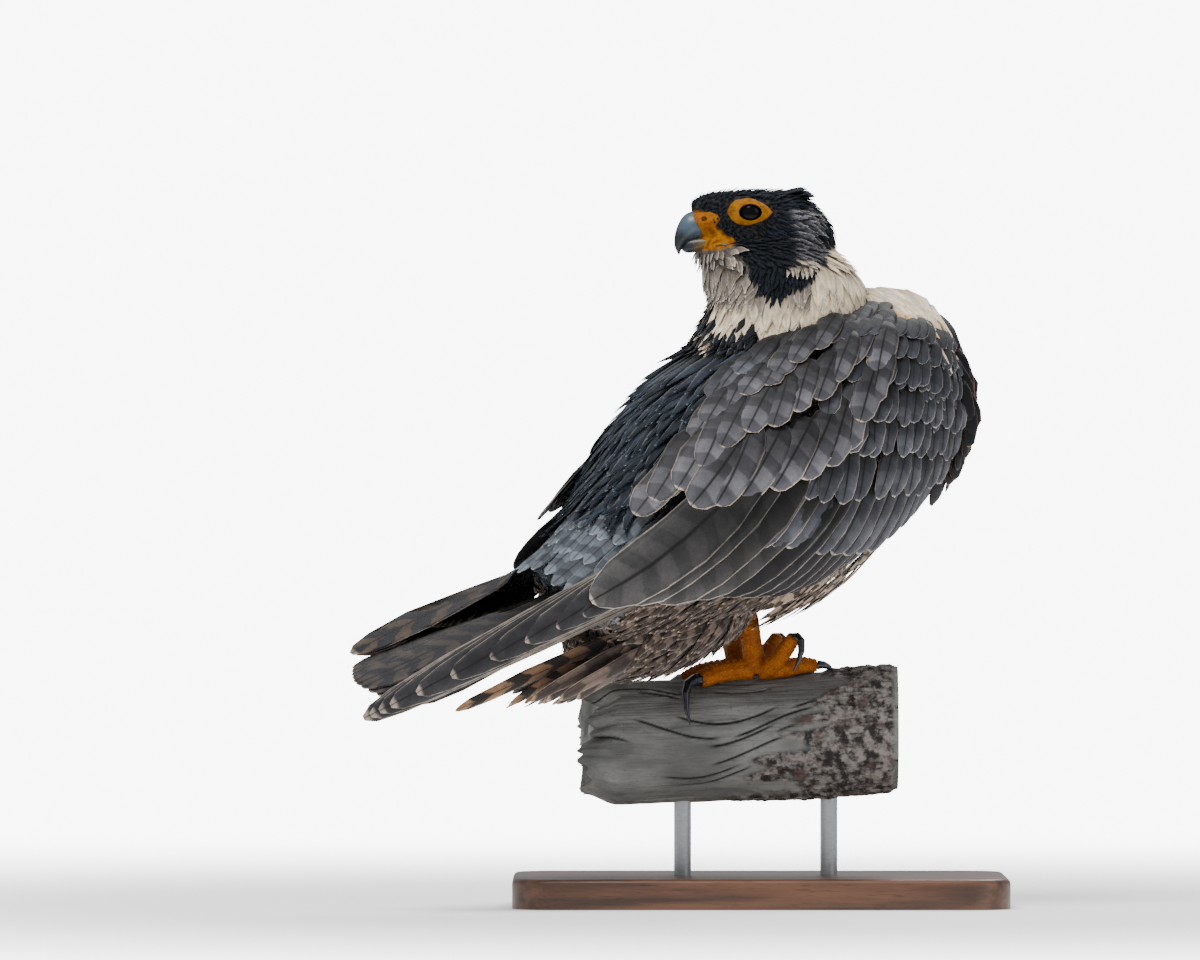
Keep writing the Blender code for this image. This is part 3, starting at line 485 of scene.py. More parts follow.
def eye_gloss(name):
    """The wet eye: a near-black brown iris that can't be told from its pupil, under a clear cornea."""
    material, add, place = start_material(name, Roughness=0.07, Specular_IOR_Level=0.16)
    # clouds 3 mm across
    cloud = grain(add, place, 3 * MM, 2.0)
    return finish_material(material, stained(add, cloud, 0.4, 0.8, linear("#030304"), linear("#08090c")))


def weathered_wood(name):
    """Barkless dead wood, silvered by weather, with long checks that are near black inside, and a patch of scaling
    bark.
    """
    material, add, place = start_material(name, Roughness=0.85, Specular_IOR_Level=0.25)
    checks, bark = (add("Attribute", output="Fac", attribute_name=key) for key in ("check", "bark"))
    # fibres 0.8 mm apart that run with the limb, grey clouds 16 mm wide and specks of 2.2 mm
    fibre = grain(add, place, 0.8 * MM, 4.0, (22, 1, 1))
    cloud = grain(add, place, 16 * MM, 4.0, (2.4, 1, 1))
    speck = grain(add, place, 2.2 * MM, 4.0)
    colour = stained(add, cloud, 0.3, 0.72, linear("#5f5f5d"), linear("#8c8b87"))
    colour = stained(add, fibre, 0.5, 0.8, colour, linear("#44423f"), 0.45)
    colour = stained(add, speck, 0.58, 0.75, colour, linear("#5c5a4c"), 0.5)
    # near black in the checks, as deep as each place lies in one
    colour = add("Mix", {0: checks, 6: colour, 7: linear("#1d1a18")}, 2, data_type="RGBA")
    # flakes of bark 5 mm across, with brown inner bark every 9 mm
    flake = grain(add, place, 5 * MM, 5.0, roughness=0.65)
    crust = stained(add, flake, 0.40, 0.62, linear("#2c2827"), linear("#8a837e"))
    crust = stained(add, grain(add, place, 9 * MM), 0.55, 0.72, crust, linear("#594a42"))
    colour = add("Mix", {0: bark, 6: colour, 7: crust}, 2, data_type="RGBA")
    rough = add("Math", [speck, 0.4, add("Math", [fibre, 0.6], operation="MULTIPLY")], operation="MULTIPLY_ADD")
    return finish_material(material, colour, rough, 0.8 * MM, 0.7)


def oiled_walnut(name):
    """Oiled walnut: dark brown with long figure and fine pores, rubbed to a satin."""
    material, add, place = start_material(name, Roughness=0.38, Coat_Weight=0.15, Coat_Roughness=0.3)
    # figure 6 mm wide, and pores of 0.2 mm that are drawn at 0.6 mm to show
    figure = grain(add, place, 6 * MM, 4.0, (14, 1, 1))
    pores = grain(add, place, 0.6 * MM, 2.0, (14, 1, 1))
    colour = stained(add, figure, 0.3, 0.7, linear("#3b2519"), linear("#6a4630"))
    colour = stained(add, pores, 0.58, 0.75, colour, linear("#22140d"), 0.6)
    return finish_material(material, colour, pores, 0.2 * MM, 0.4)


def brushed_steel(name):
    """Stainless rod, brushed round: grey metal with a soft streaked highlight."""
    material, add, place = start_material(name, Roughness=0.34, Metallic=1.0)
    # brush marks are 0.1 mm apart and drawn at 0.4 mm to show
    brush = grain(add, place, 0.4 * MM, 2.0, (6, 6, 1))
    colour = add("Mix", {0: brush, 6: linear("#8f9193"), 7: linear("#b9bbbd")}, 2, data_type="RGBA")
    return finish_material(material, colour, brush, 0.1 * MM, 0.3)


# Looks of the feathers

LEAF_DEPTH = 0.06 * MM


def look(base, edge, mark, bars=0.0, count=3, fringe=0.12, shaft=0.0, vary=0.12):
    """Base, edge and mark colours, strength and count of bars, width of fringe, shaft, and how shades vary."""
    return (linear(base), linear(edge), linear(mark), bars, count, fringe, shaft, vary)


LOOKS = {
    "cap": look("#1a2029", "#363f4a", "#0c0f14", vary=0.3),
    "ear": look("#5a5b62", "#b0a9a2", "#24262c", 0.3, 2, 0.25, vary=0.45),
    "cheek": look("#c4b3a0", "#f0e2d0", "#5d5047", 0.4, 2, 0.3, vary=0.2),
    "throat": look("#92867a", "#e2d6c7", "#6f5f50", 0.3, 2, 0.35, vary=0.35),
    "collar": look("#f2dcbc", "#fff2d9", "#c2935f", 0.0, 2, 0.35, vary=0.12),
    "buff": look("#cfa36c", "#efd3a2", "#7f5634", 0.0, 2, 0.4, vary=0.18),
    "mantle": look("#0f141b", "#283039", "#0a0c10", 0.2, 2, 0.12, 0.3, 0.3),
    "scapular": look("#69686d", "#bba996", "#2a2a2f", 0.6, 2.6, 0.15, 0.9, 0.32),
    "covert": look("#54555b", "#afa399", "#26272c", 0.38, 2.6, 0.15, 0.9, 0.32),
    "marginal": look("#3b3d44", "#8d847c", "#17181c", 0.3, 2, 0.16, 0.5, 0.35),
    # the bend's near-black base is painted shade under the wing's leading edge; its brown edge is the feathers' own
    # colour
    "bend": look("#131418", "#75553f", "#0b0c0e", 0.2, 2, 0.22, 0.3, 0.3),
    "back": look("#27303b", "#64717e", "#0c0f14", 0.45, 2.5, 0.10, 0.5, 0.45),
    "rump": look("#6b727b", "#b3b8bd", "#252a31", 0.6, 3.0, 0.10, 0.7, 0.35),
    "tertial": look("#4b4948", "#b5a99c", "#252425", 0.42, 6, 0.09, 0.9, 0.2),
    # the secondaries' dark base is partly their own colour and partly painted shade under the greater coverts
    "flight": look("#232224", "#a99d90", "#141416", 0.4, 7, 0.09, 0.9, 0.2),
    "primary": look("#302f31", "#96897c", "#201f21", 0.35, 10, 0.075, 0.9, 0.25),
    "far_primary": look("#232327", "#83776c", "#5c4b3a", 0.5, 11, 0.08, 0.9, 0.25),
    "tail": look("#232226", "#7d7268", "#4c433c", 0.6, 12, 0.05, 0.9, 0.12),
    "breast": look("#e0d0ba", "#f4e8d6", "#4d3b2e", 0.35, 2, 0.35, vary=0.15),
    "belly": look("#b9a08a", "#dcc8b0", "#2a211d", 0.9, 2.6, 0.2, vary=0.25),
    "trousers": look("#98857a", "#c0ab97", "#33281f", 0.75, 2.6, 0.2, vary=0.3),
    "vent": look("#7a685c", "#ab9580", "#2a221f", 0.75, 2.6, 0.2, 0.3, 0.35),
    "plume": look("#8f6d50", "#b4967a", "#15110f", 0.95, 5, 0.05, 0.8, 0.15),
}

# Outlines of a feather: places from root to tip, and its width there.
ROUNDED = ((0, 0.25, 0.5, 0.75, 0.9, 1.0), (0.35, 0.8, 1.0, 0.92, 0.66, 0.16))
LOOSE = ((0, 0.3, 0.6, 0.85, 1.0), (0.5, 0.95, 1.0, 0.62, 0.10))
SMALL = ((0, 0.4, 0.8, 1.0), (0.6, 1.0, 0.8, 0.15))
VANE = ((0, 0.12, 0.3, 0.5, 0.7, 0.84, 0.93, 0.98, 1.0), (0.4, 0.8, 0.96, 1.0, 0.96, 0.86, 0.62, 0.34, 0.10))
BLADE = ((0, 0.1, 0.25, 0.45, 0.65, 0.82, 0.93, 0.98, 1.0), (0.5, 0.85, 1.0, 0.97, 0.88, 0.74, 0.56, 0.36, 0.10))


class Coat:
    """Feathers gathered into one mesh. Each is a thin closed leaf with an arched top."""

    def __init__(self, name, seed):
        self.name = name
        self.draw = np.random.default_rng(seed)
        self.points, self.leaves, self.bakes = [], [], []
        self.colours = {"base": [], "edge": [], "mark": [], "marks": []}
        self.loops, self.sizes = [], []
        self.total = 0
        self.patterns = {}

    def pattern(self, rows, columns):
        """Faces of one leaf: (corner indices, corners of each face)."""
        if (rows, columns) not in self.patterns:
            ring = columns + 1
            corners, sizes = [], []
            for k in range(rows - 1):
                for j in range(ring):
                    i = (j + 1) % ring
                    corners += [k * ring + j, k * ring + i, (k + 1) * ring + i, (k + 1) * ring + j]
                    sizes.append(4)
            corners += [ring - 1 - j for j in range(ring)]
            corners += [(rows - 1) * ring + j for j in range(ring)]
            sizes += [ring, ring]
            self.patterns[rows, columns] = (np.array(corners), np.array(sizes))
        return self.patterns[rows, columns]

    def add(
        self, line, outs, width, kind, outline, spot, patch=0.003, columns=5, tilt=0.0, camber=0.16, ragged=0.05
    ):
        """One feather over a line of points, with the outward directions there. spot is its root on the unwrap."""
        line, outs = np.asarray(line, float), np.asarray(outs, float)
        rows = len(line)
        along = np.gradient(line, axis=0)
        along /= np.linalg.norm(along, axis=1, keepdims=True)
        across = np.cross(outs, along)
        across /= np.linalg.norm(across, axis=1, keepdims=True)
        up = np.cross(along, across)
        share = np.array(steps(rows)) if len(outline[0]) != rows else np.array(outline[0])
        half = width / 2 * np.interp(share, *outline)
        v = np.linspace(-1, 1, columns)
        torn = 1 + ragged * self.draw.uniform(-1, 1, (rows, columns)) * np.abs(v) ** 3
        reach = half[:, None] * v[None, :] * torn
        rise = camber * half[:, None] * (1 - v[None, :] ** 2) + math.tan(math.radians(tilt)) * reach
        top = line[:, None] + across[:, None] * reach[..., None] + up[:, None] * rise[..., None]
        middle = line + up * (camber * half * 0.6 - LEAF_DEPTH)[:, None]
        ring = np.concatenate([top, middle[:, None]], axis=1)
        leaf = np.stack(np.broadcast_arrays(share[:, None], np.append(v * 0.5 + 0.5, 0.5)[None]), axis=-1)
        corners, sizes = self.pattern(rows, columns)
        self.points.append(ring.reshape(-1, 3))
        self.leaves.append(leaf.reshape(-1, 2))
        self.bakes.append(np.array(spot) + (leaf.reshape(-1, 2) - 0.5) * patch)
        self.loops.append(corners + self.total)
        self.sizes.append(sizes)
        self.total += rows * (columns + 1)
        base, edge, mark, bars, count, fringe, shaft, vary = kind
        shade = 1 + self.draw.uniform(-vary, vary)
        for key, value in (
            ("base", (*(c * shade for c in base), 1)),
            ("edge", (*(c * (shade + 1) / 2 for c in edge), 1)),
            ("mark", (*mark, 1)),
            ("marks", (bars, count / 10, fringe, shaft)),
        ):
            self.colours[key].append(np.tile(value, (rows * (columns + 1), 1)))

    def build(self):
        """The coat as one object, with its unwraps and colours."""
        points, loops, sizes = (np.concatenate(part) for part in (self.points, self.loops, self.sizes))
        mesh = bpy.data.meshes.new(self.name)
        mesh.vertices.add(len(points))
        mesh.vertices.foreach_set("co", points.astype(np.float32).ravel())
        mesh.loops.add(len(loops))
        mesh.loops.foreach_set("vertex_index", loops.astype(np.int32))
        mesh.polygons.add(len(sizes))
        mesh.polygons.foreach_set("loop_start", np.concatenate([[0], np.cumsum(sizes)[:-1]]).astype(np.int32))
        mesh.update(calc_edges=True)
        for key, part in (("OFBake", self.bakes), ("Leaf", self.leaves)):
            values = np.concatenate(part)[loops]
            mesh.uv_layers.new(name=key).data.foreach_set("uv", values.astype(np.float32).ravel())
        for key, part in self.colours.items():
            store(mesh, key, "FLOAT_COLOR", np.concatenate(part))
        mesh.shade_smooth()
        return link(self.name, mesh)


# Skin

NECK_ROWS = (
    (250, 18, 0, 48, 40),
    (260, 14, 0, 47, 41),
    (270, 13, 0, 41.5, 39),
    (280, 13.5, -2, 38, 37),
    (288, 11.3, -3, 38, 35),
    (295, 8.2, -4, 36.2, 32),
    (302, 2.8, -4, 33.4, 28),
    (308, -1.5, -3.5, 30, 23),
)
SKULL_ROWS = (
    (36.0, 10.5, 3.0, 2.6, 1.6),
    (32.0, 5.0, 6.2, 10.4, 14.0),
    (26.0, 2.0, 8.8, 15.4, 17.5),
    (18.0, 0.5, 13.6, 17.6, 19.5),
    (9.0, 0.0, 17.0, 18.2, 21.0),
    (0.0, 0.0, 19.3, 18.2, 22.0),
    (-10.0, -0.5, 20.8, 18.2, 22.5),
    (-19.0, -2.0, 19.4, 16.8, 21.0),
    (-26.0, -4.0, 15.6, 12.6, 18.0),
    (-30.8, -5.0, 10.4, 8.0, 13.0),
    (-33.2, -5.0, 4.0, 3.0, 6.0),
)
WING_PLAN = (
    (8, 84, 114, 6),
    (24, 68, 138, 13),
    (50, 56, 146, 15),
    (85, 48, 128, 12.5),
    (120, 42, 108, 11.5),
    (150, 42, 84, 10.5),
    (166, 46, 66, 9),
)
TORSO_START, TORSO_LENGTH = 4, 228
MANTLE_LIFT = 8
LEFT_WING_DROP = 12
WING_PAD_DEPTH = 5.0


def mantle_lift(s, angle):
    """How far the loose feathers of the mantle stand above the body between the wings, in mm."""
    length = ramp(s, 40, 80) * (1 - 0.75 * ramp(s, 160, 215))
    return MANTLE_LIFT * length * ramp(angle, -80, -48) * ramp(angle, 46, 20)


def plan_at(s):
    """The wing's row of the plan at s in mm."""
    for one, two in zip(WING_PLAN, WING_PLAN[1:]):
        if s <= two[0]:
            t = max(0.0, (s - one[0]) / (two[0] - one[0]))
            return mixed(one, two, t * t * (3 - 2 * t) * 0.4 + 0.6 * t)
    return WING_PLAN[-1]


def wing_angle(side, s, angle):
    """The chart angle of a place on a wing; behind the shoulder the left wing is held lower."""
    return angle if side == RIGHT else -(angle + LEFT_WING_DROP * ramp(s, 60, 200))


def coat_point(s, angle, lift=0.0):
    """The point lift mm above the body at a place of the chart."""
    point, outward = coat_frame(s, angle)
    return point + outward * lift * MM


def torso_form():
    """The body from breast to tail, with the mantle's loose feathers as a swelling."""

    def place(angle, share):
        s, turn = TORSO_START + TORSO_LENGTH * share, math.degrees(angle)
        return coat_point(s, turn, mantle_lift(s, turn))

    return closed_tube(place, 72, 70)


def neck_form():
    """The neck as a tube of level ovals."""

    def place(angle, share):
        height, x, y, wide, deep = curve_through(NECK_ROWS, share)
        return Vector((x + wide * math.cos(angle), y + deep * math.sin(angle), height)) * MM

    return closed_tube(place, 64, 24)


def head_form(rows, sides, count, power):
    """A closed form over upright sections of the head frame: rows of x, middle, half width, rise and drop."""

    def place(angle, share):
        x, middle, width, rise, drop = curve_through(rows, share)
        across, height = math.cos(angle), math.sin(angle)
        reach = (abs(across) ** power + abs(height) ** power) ** (-1 / power)
        depth = rise if height > 0 else drop
        return HEAD_TO_ROW @ (Vector((x, width * across * reach, middle + depth * height * reach)) * MM)

    return closed_tube(place, sides, count)


def limb_part(path, radii, flatten=1.0):
    """A tube along a path of the bird frame."""
    return path_tube([BIRD_TO_ROW @ Vector(p) for p in path], radii, 32, 24, flatten)


def wing_form(side):
    """The arm of a folded wing, as a pad on the body's side."""

    def place(angle, share):
        s = WING_PLAN[0][0] + (WING_PLAN[-1][0] - WING_PLAN[0][0]) * share
        _, top, bottom, thick = plan_at(s)
        turn = (angle / math.pi + 1) % 2
        reach = turn if turn <= 1 else 2 - turn
        place_round = top + (bottom - top) * reach
        height = thick * math.sin(math.pi * (0.05 + 0.90 * reach)) ** 0.5 if turn <= 1 else -WING_PAD_DEPTH
        return coat_point(s, wing_angle(side, s, place_round), height)

    return closed_tube(place, 40, 40)


# Paths in the bird frame and radii of the vent and of each thigh; the right one is drawn up higher.
VENT_PATH = ((-0.022, 0.002, 0.150), (-0.048, 0.001, 0.136), (-0.078, -0.001, 0.124), (-0.104, -0.003, 0.116))
VENT_RADII = (0.027, 0.027, 0.021, 0.009)
THIGH_PATHS = {
    RIGHT: ((0.010, -0.028, 0.172), (0.000, -0.023, 0.162), (-0.008, -0.018, 0.154), (-0.011, -0.015, 0.150)),
    LEFT: ((0.010, 0.028, 0.172), (0.000, 0.023, 0.162), (-0.008, 0.018, 0.149), (-0.011, 0.015, 0.134)),
}
THIGH_RADII = (0.024, 0.019, 0.013, 0.0085)


def body_skin():
    """One skin over head, neck, body, arms, thighs and vent, inside the solids by the depth of the coat."""
    forms = [torso_form(), neck_form(), head_form(SKULL_ROWS, 48, 40, 2.2), wing_form(RIGHT), wing_form(LEFT)]
    forms.append(limb_part(VENT_PATH, VENT_RADII, 0.95))
    forms += [limb_part(path, THIGH_RADII) for path in THIGH_PATHS.values()]
    deeper = HEAD_COAT_DEPTH - COAT_DEPTH
    skin = remeshed("skin", forms, 1.5 * MM, 6)
    return grown(skin, lambda place: deeper * ramp(place.z, *HEAD_COAT_EDGE) - HEAD_COAT_DEPTH)


# Where each kind of feather grows

CAP_EDGE = (
    (-33, -5.7), (-28.5, -5.7), (-23.5, -8), (-22, -12), (-18.8, -17.2), (-14.5, -22.3), (-10.5, -26.9), (-3, -28),
    (2, -32.5), (6.6, -29), (10.2, -24.3), (14.5, -18.3), (18.4, -9), (30, -3), (40, 4),
)
COLLAR_EDGE = (
    (-60, 280), (-22, 278), (-16, 270), (-11.6, 267.7), (-3, 274), (1.4, 267), (10.2, 260.5), (21, 263.3),
    (39.5, 269), (53, 272), (66, 268), (90, 250), (110, 240),
)
COLLAR_OVERLAP = 6
CERE_EDGE = (
    (-10.6, 24), (-9, 19), (-5.3, 17.3), (-3.9, 20.7), (0.3, 25.4), (2.6, 28), (7.0, 31), (8.2, 38), (9.4, 60),
    (20, 60),
)
# Middle and half size, in mm along X and Z of the row frame, of the mantle's pale fleck and the nape's dark spot.
MANTLE_FLECK = ((-22.3, 265), (2.2, 4.5))
NAPE_SPOT = ((32.6, 304), (1.8, 3))


def read_line(line, value):
    """The height of a line of points at a value."""
    return float(np.interp(value, [a for a, _ in line], [b for _, b in line]))


def in_head(point):
    """A point of the row frame in the head frame, in mm."""
    return (ROW_TO_HEAD @ point) / MM


FAR_FROM_EYE = 20.0


def eye_reach(p, margin=0.0):
    """How far a head point lies outside an eye's bare ring, in mm; below 0 it is inside."""
    side = 1 if p.y > 0 else -1
    middle = Vector((EYE_CENTRE.x, side * EYE_CENTRE.y, EYE_CENTRE.z)) / MM
    gap = p - middle
    forward = Vector((math.cos(EYE_AHEAD), -side * math.sin(EYE_AHEAD), 0))
    outward = Vector((math.sin(EYE_AHEAD), side * math.cos(EYE_AHEAD), 0))
    if gap.dot(outward) < 0:
        return FAR_FROM_EYE
    long, high = gap.dot(forward), gap.z
    place = (math.atan2(high, long) / (2 * math.pi) % 1) * len(LID_EDGE)
    low = int(place) % len(LID_EDGE)
    edge = LID_EDGE[low] + (LID_EDGE[(low + 1) % len(LID_EDGE)] - LID_EDGE[low]) * (place - int(place))
    return math.hypot(long, high) - edge - margin


# In the head frame and mm: where the throat ends, the oval of the pale cheek, and the box of the streaked ear.
THROAT_END = -14
CHEEK_OVAL = ((-10.8, -16.7), (6.5, 2.8))
EAR_BOX = ((-21, -5), (-14, 9))


def head_look(p):
    """The look of a feather of the head or upper neck, from its place in the head frame."""
    if p.z < read_line(CAP_EDGE, p.x):
        return "throat" if p.x > THROAT_END else "collar"
    (x, z), (long, high) = CHEEK_OVAL
    if abs(p.y) > 6 and ((p.x - x) / long) ** 2 + ((p.z - z) / high) ** 2 < 1:
        return "cheek"
    (rear, front), (bottom, top) = EAR_BOX
    if abs(p.y) > 8 and rear < p.x < front and bottom < p.z < top:
        return "ear"
    return "cap"


# Heights between which pale feathers are the breast's, chart angles of back and breast, and where in mm of s
# the breast ends and the back, the vent and the rump begin.
BREAST_BASE, COLLAR_BASE = 0.245, 0.268
BACK_TURN, BREAST_TURN, NEAR_MANTLE_TURN = 80, 104, 30
BREAST_END, BACK_START, VENT_START, RUMP_START = 45, 70, 150, 190


def body_look(point, s, angle):
    """The look of a feather of the body, from its place."""
    if point.z > BREAST_BASE and point.z > read_line(COLLAR_EDGE, point.x / MM) * MM:
        return "collar" if point.z > COLLAR_BASE else "breast"
    if abs(angle) > BREAST_TURN and s < BREAST_END:
        return "breast"
    if abs(angle) >= BACK_TURN:
        return "vent" if s > VENT_START else "belly"
    if s > RUMP_START:
        return "rump"
    return "back" if s > BACK_START and angle < NEAR_MANTLE_TURN else "mantle"


# Spacing, length and width of the small feathers in mm, how high their tips stand, and how ragged they are.
SMALL_SIZES = {
    "cap": (1.40, 6.2, 2.0, 0.9, 0.15),
    "ear": (1.5, 7.0, 2.0, 1.2, 0.2),
    "cheek": (1.5, 7.5, 2.2, 1.4, 0.2),
    "throat": (2.2, 11.0, 4.2, 2.4, 0.35),
    "collar": (2.7, 17.0, 6.4, 2.2, 0.25),
    "breast": (3.6, 17.0, 7.0, 2.8, 0.15),
    "mantle": (2.9, 14.0, 5.0, 3.2, 0.25),
    "back": (4.4, 32.0, 7.5, 6.5, 0.3),
    "rump": (4.4, 24.0, 10.0, 2.8, 0.1),
    "belly": (3.6, 17.0, 7.0, 2.8, 0.2),
    "trousers": (2.8, 12.0, 4.6, 2.6, 0.25),
    "vent": (3.3, 20.0, 5.6, 3.6, 0.25),
    "marginal": (3.4, 13.0, 7.5, 2.4, 0.1),
}


def marked(point, mark):
    """Whether a point of the row frame lies in a mark, seen along Y."""
    middle, size = mark
    return abs(point.x / MM - middle[0]) < size[0] and abs(point.z / MM - middle[1]) < size[1]


def neck_class(point, p, turn, along):
    """classify for the neck and collar."""
    down = Vector((0, 0, -1))
    name = head_look(p)
    dark = name in ("cap", "ear", "cheek") and p.x > -24 and p.z > -34
    white = point.z > (read_line(COLLAR_EDGE, point.x / MM) + COLLAR_OVERLAP) * MM
    if not dark and not white and turn < 115:
        name = "mantle"
        if marked(point, MANTLE_FLECK) and point.y < 0:
            return "throat", "collar", down
    elif not dark:
        name = "throat" if p.x > THROAT_END and point.z > BARE_BASE else "collar"
        if marked(point, NAPE_SPOT):
            name = "cap"
    if white or name in ("cap", "ear", "cheek"):
        return name, name, down + Vector((point.x - 0.012, point.y, 0)).normalized() * 0.5 + along * 0.3
    return name, name, along + down * 0.4


def classify(point):
    """(region, look, heading) of a place on the skin."""
    p = in_head(point)
    if point.z > HEAD_BASE and p.length < HEAD_REACH:
        from_bill = Vector((p.x - 34, p.y, p.z * 0.6 - 1)).normalized()
        heading = from_bill + Vector((0, 0, -0.9 * ramp(p.x, -8, -30) - 0.35 * ramp(p.z, 0, -16)))
        name = head_look(p)
        return ("throat" if name == "collar" else name), name, HEAD_TO_ROW.to_3x3() @ heading
    s, angle = chart_place(point)
    turn, side = abs(angle), RIGHT if angle > 0 else LEFT
    along = BIRD_TO_ROW.to_3x3() @ next(row[2] for row in SPINE if row[0] >= s - 0.01)
    if point.z > NECK_BASE:
        return neck_class(point, p, turn, along)
    surface, outward = coat_frame(s, angle)
    plan = plan_at(min(max(s, WING_PLAN[0][0]), WING_PLAN[-1][0]))
    start, end = sorted((abs(wing_angle(side, s, plan[1])), abs(wing_angle(side, s, plan[2]))))
    if 4 < s < 172 and (point - surface).dot(outward) / MM > 1.5 and start - 6 < turn < end + 6:
        return "marginal", "marginal", along + Vector((0, 0, -0.5))
    bird = ROW_TO_BIRD @ point
    if bird.z < 0.158 and abs(bird.y) < 0.034 and -0.026 < bird.x < 0.03:
        return "trousers", "trousers", Vector((0, 0, -1)) + along * 0.35
    name = body_look(point, s, angle)
    return name, name, along - Vector((0, 0, {"belly": 0.25, "breast": 0.25, "vent": 0.15}.get(name, 0)))


def grow(tree, root, heading, length, rows, low, high, curl):
    """(line, outward directions) of a feather laid over the skin from root, rising from low to high."""
    point, outward, _, _ = tree.find_nearest(root)
    line, outs = [], []
    stride = length / (rows - 1)
    for k in range(rows):
        t = k / (rows - 1)
        line.append(point + outward * (low + (high - low) * t + curl * t * t))
        outs.append(outward.copy())
        heading = heading - outward * heading.dot(outward)
        if heading.length < 1e-6:
            return None
        heading.normalize()
        found, facing, _, _ = tree.find_nearest(point + heading * stride)
        outward = (outward * 0.35 + facing).normalized()
        point = found
    return line, outs


def scattered(skin, tries, draw):
    """Even random places over the skin: candidates by area, kept apart by each region's own spacing."""
    mesh = skin.data
    mesh.calc_loop_triangles()
    corners = np.array([t.vertices for t in mesh.loop_triangles])
    points = np.array([v.co for v in mesh.vertices])
    a, b, c = (points[corners[:, k]] for k in range(3))
    area = np.linalg.norm(np.cross(b - a, c - a), axis=1)
    chosen = draw.choice(len(area), tries, p=area / area.sum())
    one, two = draw.random(tries), draw.random(tries)
    flip = one + two > 1
    one[flip], two[flip] = 1 - one[flip], 1 - two[flip]
    found = a[chosen] + (b - a)[chosen] * one[:, None] + (c - a)[chosen] * two[:, None]
    cell = 5 * MM
    taken, kept = {}, []
    for p in found:
        point = Vector(p)
        region, name, heading = classify(point)
        spacing = SMALL_SIZES[region][0] * MM
        key = tuple(int(x // cell) for x in p)
        near = [
            q
            for dx in (-1, 0, 1)
            for dy in (-1, 0, 1)
            for dz in (-1, 0, 1)
            for q in taken.get((key[0] + dx, key[1] + dy, key[2] + dz), ())
        ]
        if any((point - q).length_squared < spacing * spacing for q in near):
            continue
        taken.setdefault(key, []).append(point)
        kept.append((point, region, name, heading))
    return kept


def head_spot(point):
    """Where a place of the head lies on the unwrap."""
    p = in_head(point)
    return (0.5 + math.atan2(p.y, p.z + 8) / 6.6, min(max(0.5 - p.x / 110, 0.02), 0.98))


COAT_PIECES = {
    "coat_head": ("cap", "ear", "cheek"),
    "coat_throat": ("throat",),
    "coat_collar": ("collar",),
    "coat_breast": ("breast",),
    "coat_belly": ("belly",),
    "coat_trousers": ("trousers",),
    "coat_vent": ("vent",),
    "coat_mantle": ("mantle",),
    "coat_back": ("back",),
    "coat_rump": ("rump",),
    "coat_arm": ("marginal",),
}
LOOK_COATS = {name: coat for coat, names in COAT_PIECES.items() for name in names}
DARK_COATS = ("coat_mantle", "coat_back", "coat_arm", "coat_rump")
PALE_COATS = ("coat_throat", "coat_collar")
EYE_BORDER = 9


def is_bare(point):
    """Whether a place is in the bare skin round the bill."""
    p = in_head(point)
    return point.z > BARE_BASE and p.x > read_line(CERE_EDGE, p.z) and p.z > CERE_EDGE[0][0]


# How many places over the skin are tried for a small feather, and how far the skin under one is darkened from the
# feather's colour, as painted shade between the feathers.
TRIES, QUICK_TRIES = 90000, 9000
PAINTED_GAP_SHADE = 0.45
LOOSE_FROM = 0.12


def small_feathers(skin, material, velvet, downy, tries):
    """The contour feathers of the head and body, region by region."""
    draw = np.random.default_rng(11)
    tree = BVHTree.FromObject(skin, bpy.context.evaluated_depsgraph_get())
    coats = {name: Coat(name, 20 + i) for i, name in enumerate(sorted(COAT_PIECES))}
    for point, region, name, heading in scattered(skin, tries, draw):
        p = in_head(point)
        if is_bare(point) or (point.z > BARE_BASE and eye_reach(p, 0.4) < 0):
            continue
        _, length, width, high, ragged = SMALL_SIZES[region]
        if region in ("cap", "ear", "throat") and point.z > HEAD_BASE:
            close = ramp(p.x, 8, 30)
            length *= 1 - 0.55 * close
            width *= 1 - 0.35 * close
            away = eye_reach(p)
            if away < EYE_BORDER:
                gap = Vector((p.x - EYE_CENTRE.x / MM, 0, p.z - EYE_CENTRE.z / MM)).normalized()
                heading = heading + HEAD_TO_ROW.to_3x3() @ gap * (1.6 * ramp(away, EYE_BORDER, 0))
                length *= 0.45 + 0.55 * ramp(away, 0, 7)
                width *= 0.7 + 0.3 * ramp(away, 0, 7)
        loose, fine = ragged >= LOOSE_FROM, region in COAT_PIECES["coat_head"]
        heading = heading + Vector(draw.uniform(-1, 1, 3)) * (0.3 if loose else 0.12)
        length *= 1 + draw.uniform(-0.15, 0.15)
        curl = draw.uniform(0, 1.2) * MM if loose else 0.0
        outline = SMALL if fine else (LOOSE if loose else ROUNDED)
        laid = grow(tree, point, heading, length * MM, len(outline[0]), -0.0003, high * MM, curl)
        if laid is None:
            continue
        if fine and any(eye_reach(in_head(q), -0.2) < 0 for q in laid[0]):
            continue
        spot = head_spot(point) if point.z > NECK_BASE else chart_spot(*chart_place(point))
        coat = coats[LOOK_COATS[name]]
        coat.add(*laid, width * MM, LOOKS[name], outline, spot, columns=3 if fine else 5, ragged=ragged)
    for name, coat in coats.items():
        if not coat.points:
            continue
        if name == "coat_head":
            settle(coat.build(), velvet, "black_feathers")
        elif name in PALE_COATS:
            settle(coat.build(), downy, "cream_feathers")
        else:
            settle(coat.build(), material, "slate_feathers" if name in DARK_COATS else "buff_feathers")


# Wings and tail


